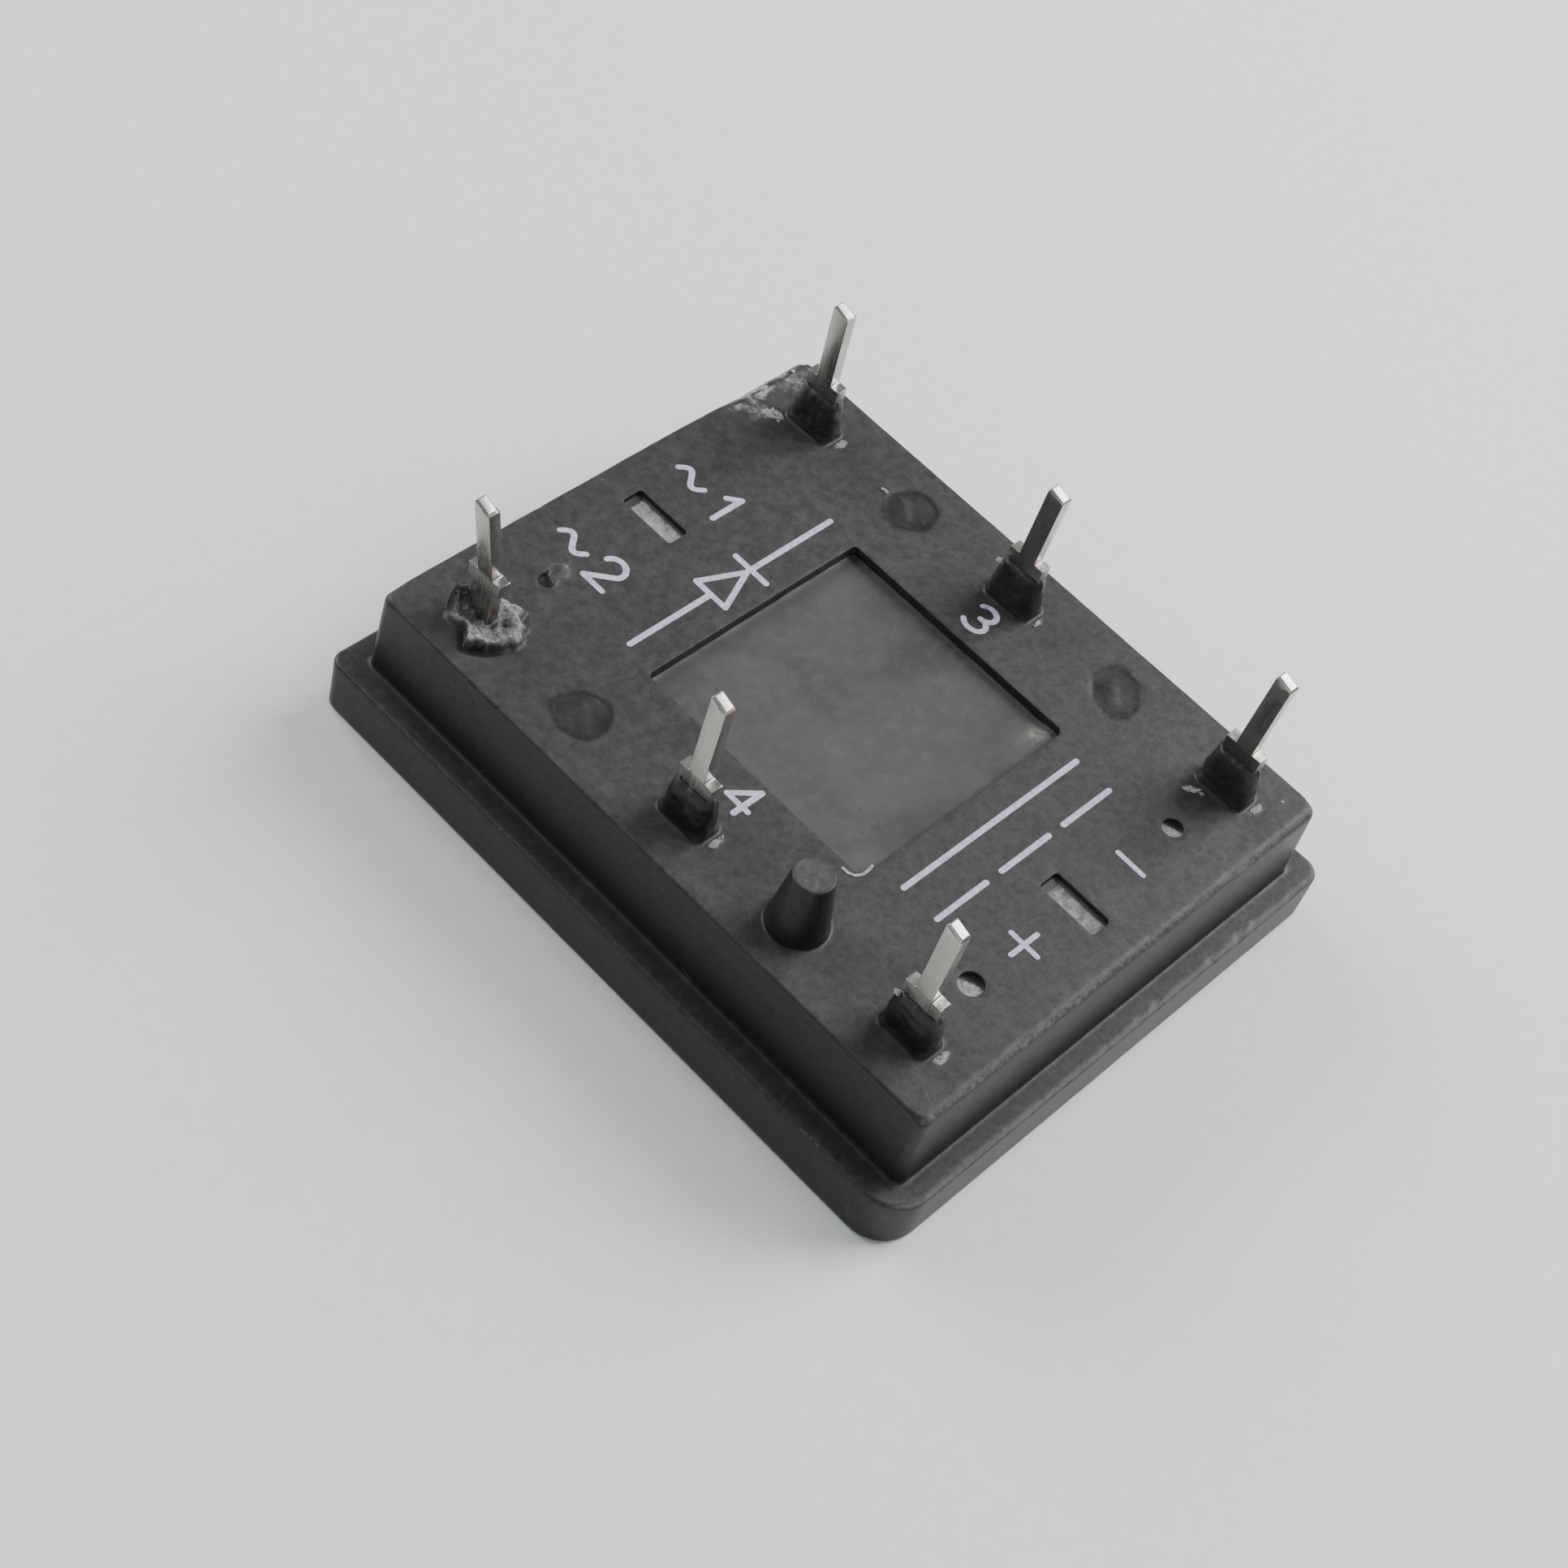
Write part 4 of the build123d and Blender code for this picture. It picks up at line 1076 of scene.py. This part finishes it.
# ---------------------------------------------------------------- base plate and its adhesive
def build_plate():
    s = Shell()
    o = outline(PLATE_HX, PLATE_HY, 0.8, 70, 88, 8)
    base = o()
    rings = []
    # lapped lower face, rolled lower edge, sheared side with a rough band, burr at the top
    roll = [0.10 + 0.03 * fbm(x, y, 0, 0.5, 3, 4.0) for x, y in base]
    for k in range(6):
        a = math.radians(90 * k / 5)
        pts = o(lambda i: roll[i] * (1 - math.sin(a)))
        rings.append(s.add([(x, y, roll[i] * (1 - math.cos(a))) for i, (x, y) in enumerate(pts)], wear=0.3))
    for z in (0.5, 0.9, 1.25, 1.55, 1.8, 1.95):
        amp = 0.018 if z > 1.2 else 0.006
        pts = o(lambda i: amp * (1 + fbm(base[i][0], base[i][1], z * 3, 2.2, 3, 6.0)))
        rings.append(s.add([(x, y, z) for x, y in pts], rubble=0.5 if z > 1.2 else 0.0))
    rings.append(s.add([(x, y, PLATE_TOP) for x, y in o(0.05)], rubble=0.3))
    for a, b in zip(rings, rings[1:]):
        s.strip(a, b)
    keep = lambda x, y: sd_box(x, y, PLATE_HX, PLATE_HY, 0.8) < 1e-3

    def under(x, y):
        d = -sd_box(x, y, PLATE_HX, PLATE_HY, 0.8)
        dent = sum(0.05 * math.exp(-(((x - dx) / rx) ** 2 + ((y - dy) / ry) ** 2)) for dx, dy, rx, ry in ((7.4, 12.2, 0.35, 0.25), (-9.1, -3.6, 0.22, 0.4), (3.3, -15.1, 0.5, 0.16), (-4.6, 8.4, 0.18, 0.18)))
        return dent + 0.004 * smooth(0.0, 2.0, d) * (1 + fbm(x, y, 0, 0.25, 3, 7.0))

    pts = hexgrid(-PLATE_HX, PLATE_HX, -PLATE_HY, PLATE_HY, 0.55, lambda x, y: sd_box(x, y, PLATE_HX, PLATE_HY, 0.8) < -0.45, seed=12)
    s.fill([rings[0]], pts, under, keep, flip=True)
    s.fill([rings[-1]], hexgrid(-PLATE_HX, PLATE_HX, -PLATE_HY, PLATE_HY, 2.0, lambda x, y: sd_box(x, y, PLATE_HX, PLATE_HY, 0.8) < -1.0, seed=13), PLATE_TOP, keep)
    return s.object("base_plate_lapped")


plate = build_plate()
dress(plate, "nickel_plate")
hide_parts("base_plate")


def build_adhesive():
    s = Shell()
    hx, hy = PLATE_HX, PLATE_HY
    outer = outline(REC_HX + 0.004, REC_HY + 0.004, 0.9, 70, 88, 8)
    inner = outline(PLATE_HX - 0.004, PLATE_HY - 0.004, 0.8, 70, 88, 8)
    core = outline(CAV_HX + 0.1, CAV_HY + 0.1, 0.8, 70, 88, 8)
    o_pts, i_pts, c_pts = outer(), inner(), core()
    level = [0.42 + 0.22 * fbm(x, y, 0, 0.35, 4, 14.0) for x, y in o_pts]
    a = s.add([(x, y, SHELF) for x, y in o_pts])
    b = s.add([(x, y, 1.2) for x, y in o_pts])
    c = s.add([(x, y, level[i] - 0.05) for i, (x, y) in enumerate(o_pts)])
    mid = [(lerp(p[0], q[0], 0.5), lerp(p[1], q[1], 0.5)) for p, q in zip(o_pts, i_pts)]
    d = s.add([(x, y, level[i]) for i, (x, y) in enumerate(mid)])
    e = s.add([(x, y, level[i] - 0.04) for i, (x, y) in enumerate(i_pts)])
    f = s.add([(x, y, 1.2) for x, y in i_pts])
    g = s.add([(x, y, PLATE_TOP) for x, y in i_pts])
    h = s.add([(x, y, PLATE_TOP) for x, y in c_pts])
    k = s.add([(x, y, SHELF) for x, y in c_pts])
    loops = [a, b, c, d, e, f, g, h, k, a]
    for p, q in zip(loops, loops[1:]):
        s.strip(q, p)
    return s.object("adhesive_bead")


glue = build_adhesive()
dress(glue, "adhesive")
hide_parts("base_adhesive")


# ---------------------------------------------------------------- terminals
def build_terminal(node, seed):
    """The CAD strip with its edges broken, its faces drawn slightly uneven and its cut tip rounded."""
    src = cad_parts[node].data
    bm = bmesh.new()
    bm.from_mesh(src)
    bmesh.ops.transform(bm, matrix=Matrix.Scale(1 / MM, 4), verts=bm.verts)
    bmesh.ops.remove_doubles(bm, verts=bm.verts, dist=1e-4)
    bmesh.ops.dissolve_limit(bm, angle_limit=math.radians(1.0), verts=bm.verts, edges=bm.edges)
    sharp = [e for e in bm.edges if len(e.link_faces) == 2 and e.calc_face_angle(0) > math.radians(20)]
    bmesh.ops.bevel(bm, geom=sharp, offset=0.055, offset_type="OFFSET", segments=3, profile=0.6, affect="EDGES", clamp_overlap=True)
    z = 9.4
    while z < 18.2:
        g = bm.verts[:] + bm.edges[:] + bm.faces[:]
        bmesh.ops.bisect_plane(bm, geom=g, plane_co=(0, 0, z), plane_no=(0, 0, 1), dist=1e-5)
        z += 0.22
    bmesh.ops.triangulate(bm, faces=[f for f in bm.faces if len(f.verts) > 4])
    bmesh.ops.subdivide_edges(bm, edges=[e for e in bm.edges if e.calc_length() > 0.5 and min(v.co.z for v in e.verts) > 9.3], cuts=1)
    bmesh.ops.triangulate(bm, faces=[f for f in bm.faces if len(f.verts) > 4])
    bm.normal_update()
    tips = [v.co.y for v in bm.verts if v.co.z > 18.3]
    yc = (min(tips) + max(tips)) / 2
    moves = []
    for v in bm.verts:
        x, y, z = v.co
        if z < 9.3:
            continue
        d = 0.014 * (1 + fbm(x, y, z, 0.55, 3, seed)) + 0.003 * (1 + n3(x, y, z, 3.2, seed + 5))
        cut = Vector((0, 0, 0))
        if z > 18.0:
            d += 0.008 * (1 + n3(x, y, z, 5.0, seed + 9))
            cut = Vector((0, 0, -0.34 * smooth(18.0, 18.3, z) * max(0.0, min(1.0, 0.5 - (y - yc) / 1.0))))
        moves.append((v, -v.normal * d + cut))
    for v, m in moves:
        v.co += m
    me = bpy.data.meshes.new(node + "_strip")
    bmesh.ops.transform(bm, matrix=Matrix.Scale(MM, 4), verts=bm.verts)
    bmesh.ops.recalc_face_normals(bm, faces=bm.faces)
    bm.to_mesh(me)
    bm.free()
    me.polygons.foreach_set("use_smooth", [True] * len(me.polygons))
    o = bpy.data.objects.new(node + "_strip", me)
    bpy.context.scene.collection.objects.link(o)
    sharp_by_angle(o, 38)
    return o


for k, node in enumerate(("terminal_ac1", "terminal_ac2", "terminal_g1", "terminal_g2", "terminal_plus", "terminal_minus")):
    strip = build_terminal(node, 5.0 + 9.7 * k)
    dress(strip, "tinned_copper")
    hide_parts(node)


# ---------------------------------------------------------------- printed marks
def capsule(p, q, w0, w1, n=7):
    """Outline of one pen stroke, round at both ends."""
    dx, dy = q[0] - p[0], q[1] - p[1]
    a = math.atan2(dy, dx)
    pts = []
    for i in range(n + 1):
        t = a + math.pi / 2 + math.pi * i / n
        pts.append((p[0] + w0 * math.cos(t), p[1] + w0 * math.sin(t)))
    for i in range(n + 1):
        t = a - math.pi / 2 + math.pi * i / n
        pts.append((q[0] + w1 * math.cos(t), q[1] + w1 * math.sin(t)))
    return pts


def mark(name, lines, width, slot_name="print_ink", thick=0.016, z=TOP - 0.008):
    """Joins pen strokes into one thin raised layer."""
    co, faces, pens = [], [], []
    for line in lines:
        for p, q in zip(line, line[1:]):
            w0 = width / 2 * (1 + 0.10 * n3(p[0], p[1], 0, 1.3, 3.0))
            w1 = width / 2 * (1 + 0.10 * n3(q[0], q[1], 0, 1.3, 3.0))
            pts = capsule(p, q, w0, w1)
            faces.append(list(range(len(co), len(co) + len(pts))))
            co += [Vector(c) for c in pts]
            pens.append((p, q, w0, w1))
    vs, _, fs, _, _, _ = delaunay_2d_cdt(co, [], faces, 0, 1e-4, True)

    def inked(x, y):
        for p, q, w0, w1 in pens:
            dx, dy = q[0] - p[0], q[1] - p[1]
            u = max(0.0, min(1.0, ((x - p[0]) * dx + (y - p[1]) * dy) / max(dx * dx + dy * dy, 1e-9)))
            if math.hypot(x - p[0] - u * dx, y - p[1] - u * dy) < lerp(w0, w1, u):
                return True
        return False

    bm = bmesh.new()
    bv = [bm.verts.new((v[0], v[1], z + thick)) for v in vs]
    for f in fs:
        if inked(sum(vs[i][0] for i in f) / 3, sum(vs[i][1] for i in f) / 3):
            bm.faces.new([bv[i] for i in f])
    bmesh.ops.delete(bm, geom=[v for v in bm.verts if not v.link_faces], context="VERTS")
    bm.normal_update()
    for f in bm.faces:
        if f.normal.z < 0:
            f.normal_flip()
    bmesh.ops.dissolve_limit(bm, angle_limit=math.radians(1), verts=bm.verts, edges=bm.edges)
    bmesh.ops.triangulate(bm, faces=bm.faces[:])
    bmesh.ops.inset_region(bm, faces=bm.faces[:], thickness=0.03, depth=0.0, use_boundary=True, use_even_offset=False)
    boundary = [v for v in bm.verts if any(e.is_boundary for e in v.link_edges)]
    for v in boundary:
        v.co.z = z + thick * 0.55
    edges = [e for e in bm.edges if e.is_boundary]
    ext = bmesh.ops.extrude_edge_only(bm, edges=edges)
    low = [g for g in ext["geom"] if isinstance(g, bmesh.types.BMVert)]
    for v in low:
        v.co.z = z - 0.02
    bottom = [e for e in bm.edges if e.is_boundary]
    bmesh.ops.triangle_fill(bm, edges=bottom, use_beauty=False, use_dissolve=False)
    bmesh.ops.recalc_face_normals(bm, faces=bm.faces)
    bmesh.ops.transform(bm, matrix=Matrix.Scale(MM, 4), verts=bm.verts)
    me = bpy.data.meshes.new(name)
    bm.to_mesh(me)
    bm.free()
    o = bpy.data.objects.new(name, me)
    bpy.context.scene.collection.objects.link(o)
    dress(o, slot_name)
    return o


def arc(cx, cy, rx, ry, a0, a1, n):
    return [(cx + rx * math.cos(math.radians(lerp(a0, a1, i / n))), cy + ry * math.sin(math.radians(lerp(a0, a1, i / n)))) for i in range(n + 1)]


# glyphs in a box 1 high, x along the reading direction and y up
GLYPH = {
    "1": [[(0.16, 0.74), (0.44, 1.0), (0.44, 0.0)]],
    "2": [arc(0.36, 0.70, 0.32, 0.30, 165, -25, 10) + [(0.06, 0.0), (0.72, 0.0)]],
    "3": [arc(0.34, 0.745, 0.30, 0.255, 150, -90, 9) + arc(0.34, 0.265, 0.34, 0.265, 90, -150, 10)[1:]],
    "4": [[(0.56, 0.0), (0.56, 1.0), (0.02, 0.30), (0.76, 0.30)]],
    "~": [[(0.02 + 0.92 * t / 14, 0.46 + 0.20 * math.sin(2 * math.pi * t / 14)) for t in range(15)]],
}


def lettering(text, cx, cy, height, gap=0.32):
    """Marks that read towards -Y, with their tops towards +X, centred on (cx, cy)."""
    widths = {"1": 0.60, "2": 0.74, "3": 0.70, "4": 0.78, "~": 0.96}
    total = sum(widths[c] for c in text) + gap * (len(text) - 1)
    at, lines = -total / 2, []
    for c in text:
        for line in GLYPH[c]:
            lines.append([(cx + (y - 0.5) * height, cy - (at + x) * height) for x, y in line])
        at += widths[c] + gap
    return lines


mark("mark_ac1", lettering("~1", 3.75, 15.85, 2.30), 0.36)
mark("mark_ac2", lettering("~2", -5.0, 15.95, 2.30), 0.36)
mark("mark_gate1", lettering("3", 10.1, 0.10, 2.10), 0.34)
mark("mark_gate2", lettering("4", -9.55, -0.85, 2.10), 0.34)
mark("mark_plus", [[(-5.16, -16.08), (-3.10, -16.08)], [(-4.13, -15.16), (-4.13, -17.00)]], 0.30)
mark("mark_minus", [[(4.40, -15.26), (4.37, -17.06)]], 0.30)
# rectifier symbol at the AC end: a bar, a triangle and leads
mark("mark_diode", [
    [(-7.4, 10.1), (-1.35, 10.1)],
    [(-1.35, 11.25), (-1.35, 8.95), (1.45, 10.1), (-1.35, 11.25)],
    [(1.75, 11.30), (1.75, 8.90)],
    [(1.75, 10.1), (8.1, 10.1)],
], 0.36)
# direct-current symbol at the plus and minus end: a full bar over a broken one
mark("mark_dc", [
    [(-6.7, -9.85), (7.1, -9.85)],
    [(-6.7, -12.25), (-2.9, -12.25)], [(-1.7, -12.25), (2.1, -12.25)], [(3.3, -12.25), (7.1, -12.25)],
], 0.34)
mark("scrape_by_post", [[(-8.42, -7.08), (-8.40, -7.48), (-8.22, -7.80), (-7.86, -7.98), (-7.42, -7.99), (-7.06, -7.90)]], 0.17, "flux_residue", thick=0.05)


# ---------------------------------------------------------------- flux and filler crumbs, and a pale fleck that paints a highlight on the post
def crumbs():
    s = Shell()
    rng = random.Random(91)
    spots = [
        # x, y, z, size along x, y, z, turn
        (11.35, 18.10, TOP + 0.02, 0.26, 0.17, 0.07, 40), (11.05, 17.30, TOP + 0.02, 0.15, 0.11, 0.05, 75),
        (12.3, 19.72, TOP, 0.34, 0.17, 0.09, 12), (14.7, 19.70, TOP - 0.02, 0.26, 0.17, 0.09, -10),
        (12.7, 14.05, TOP, 0.15, 0.11, 0.05, 20), (12.43, 9.93, TOP + 0.03, 0.13, 0.33, 0.10, 20),
        (11.85, 1.25, 12.00, 0.26, 0.24, 0.17, 30),
        (12.45, -2.05, TOP + 0.02, 0.26, 0.17, 0.10, 30),
        (11.05, -15.15, TOP + 0.03, 0.30, 0.15, 0.10, -42),
        (12.6, -18.05, TOP + 0.02, 0.22, 0.14, 0.07, 20), (14.6, -18.6, TOP, 0.11, 0.09, 0.04, 0),
        (-12.35, -18.0, TOP + 0.02, 0.28, 0.17, 0.08, 15),
        (-13.25, -14.80, 11.90, 0.22, 0.24, 0.20, 0), (-12.1, -1.95, TOP + 0.02, 0.19, 0.12, 0.06, 10),
        # a pale fleck on the post's shaded side: a painted highlight
        (-13.91, -8.62, 10.85, 0.04, 0.16, 0.05, -40),
    ]
    for k, (cx, cy, cz, ax, ay, az, turn) in enumerate(spots):
        ca, sa = math.cos(math.radians(turn)), math.sin(math.radians(turn))
        parts = [(0.0, 0.0, 1.0)] + [(rng.uniform(-1.0, 1.0), rng.uniform(-1.0, 1.0), rng.uniform(0.30, 0.62)) for _ in range(3)]
        for ox, oy, f in parts:
            bm = bmesh.new()
            for _ in range(16):
                d = Vector((rng.gauss(0, 1), rng.gauss(0, 1), rng.gauss(0, 1))).normalized()
                w = rng.uniform(0.75, 1.0)
                bm.verts.new((d.x * w, d.y * w, d.z * w))
            hull = bmesh.ops.convex_hull(bm, input=bm.verts[:])
            bmesh.ops.delete(bm, geom=[g for g in bm.verts if not g.link_faces], context="VERTS")
            bmesh.ops.bevel(bm, geom=bm.edges[:], offset=0.10, offset_type="OFFSET", segments=2, profile=0.6, affect="EDGES", clamp_overlap=True)
            bmesh.ops.triangulate(bm, faces=bm.faces[:])
            bmesh.ops.subdivide_edges(bm, edges=bm.edges[:], cuts=1)
            bmesh.ops.triangulate(bm, faces=bm.faces[:])
            pts = []
            for v in bm.verts:
                r = 1 + 0.16 * n3(v.co.x, v.co.y, v.co.z, 2.6, 13.0 * k)
                x, y, z = (v.co.x * f + ox) * ax * r, (v.co.y * f + oy) * ay * r, v.co.z * az * f * r
                pts.append((cx + x * ca - y * sa, cy + x * sa + y * ca, cz + z))
            first = len(s.v)
            s.add(pts)
            bm.verts.ensure_lookup_table()
            bm.verts.index_update()
            for fc in bm.faces:
                s.f.append(tuple(first + v.index for v in fc.verts))
            bm.free()
    return s.object("flux_crumbs_and_highlight_fleck")


chips = crumbs()
dress(chips, "flux_residue")


# ---------------------------------------------------------------- carried-over CAD nodes
SLOT_OF = {
    "base_solder": "solder", "chip_solder": "solder", "strap_solder": "solder", "terminal_solder": "solder",
    "substrate_base_copper": "copper", "ceramic_substrate": "alumina", "silicone_gel": "gel",
    "gate_wire_1": "gate_wire", "gate_wire_2": "gate_wire",
}
for name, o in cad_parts.items():
    if o.hide_render:
        continue
    slot_name = SLOT_OF.get(name)
    if slot_name is None:
        slot_name = "silicon" if "chip" in name else "copper"
    for i in range(len(o.material_slots)):
        o.material_slots[i].material = MAT[slot_name]
    if not o.material_slots:
        o.data.materials.append(MAT[slot_name])


# ---------------------------------------------------------------- floor, lights, camera
def floor_material():
    t = Tree("floor_paper")
    a = t.noise(0.9, 5.0, 0.6)
    b = t.noise(0.010, 3.0, 0.5)
    base = t.mix(t.span(a, 0.35, 0.65), (0.700, 0.715, 0.705), (0.730, 0.745, 0.735))
    base = t.mix(t.math("MULTIPLY", t.span(b, 0.4, 0.6), 0.4), base, (0.69, 0.70, 0.695))
    return t.finish(base, 0.62, t.bump(a, 0.15, 0.03))


bm = bmesh.new()
bmesh.ops.create_grid(bm, x_segments=8, y_segments=8, size=1.5)
me = bpy.data.meshes.new("floor")
bm.to_mesh(me)
bm.free()
floor = bpy.data.objects.new("floor", me)
bpy.context.scene.collection.objects.link(floor)
floor.location = (0, 0, -0.00002)
floor.data.materials.append(floor_material())

world = bpy.data.worlds.new("studio")
bpy.context.scene.world = world
world.use_nodes = True
wn = world.node_tree.nodes
bg = wn.get("Background") or wn.new("ShaderNodeBackground")
bg.inputs["Color"].default_value = (0.90, 0.95, 1.0, 1.0)
bg.inputs["Strength"].default_value = 0.32
wo = wn.get("World Output") or wn.new("ShaderNodeOutputWorld")
world.node_tree.links.new(bg.outputs[0], wo.inputs[0])


def area(name, place, target, size_x, size_y, watts, color=(1, 1, 1)):
    d = bpy.data.lights.new(name, "AREA")
    d.shape = "RECTANGLE"
    d.size, d.size_y = size_x, size_y
    d.energy = watts
    d.color = color
    o = bpy.data.objects.new(name, d)
    bpy.context.scene.collection.objects.link(o)
    o.location = place
    o.rotation_mode = "QUATERNION"
    o.rotation_quaternion = (Vector(target) - Vector(place)).to_track_quat("-Z", "Y")
    return o


area("key_softbox", (0.42, -0.16, 0.34), (0, 0, 0), 0.40, 0.40, 6.0, (1.0, 0.985, 0.96))
area("far_softbox", (-0.06, 0.46, 0.30), (0, 0, 0), 0.44, 0.30, 3.2, (0.97, 0.98, 1.0))
area("near_fill", (-0.32, -0.34, 0.30), (0, 0, 0), 0.50, 0.40, 0.6, (0.95, 0.98, 1.0))

# the photograph's view: a fitted camera, its three axes and place
RIGHT = (0.6938530674827185, -0.6895093356101674, 0.20771325632045615)
DOWN = (-0.4708872855590697, -0.6526593059822161, -0.593549487922972)
AHEAD = (0.5448239027829388, 0.3140266014547759, -0.7775308408901121)
PLACE = (-85.6808 * MM, -46.7115 * MM, 121.3948 * MM)
cam_data = bpy.data.cameras.new("photo_view")
cam_data.sensor_width = 36.0
cam_data.lens = 3436.651 / 1932 * 36.0
cam_data.shift_x = (966.0 - 965.518) / 1932
cam_data.shift_y = (965.891 - 966.0) / 1932
cam_data.clip_start, cam_data.clip_end = 0.005, 20.0
cam = bpy.data.objects.new("photo_view", cam_data)
bpy.context.scene.collection.objects.link(cam)
m = Matrix((
    (RIGHT[0], -DOWN[0], -AHEAD[0], PLACE[0]),
    (RIGHT[1], -DOWN[1], -AHEAD[1], PLACE[1]),
    (RIGHT[2], -DOWN[2], -AHEAD[2], PLACE[2]),
    (0, 0, 0, 1),
))
cam.matrix_world = m
bpy.context.scene.camera = cam
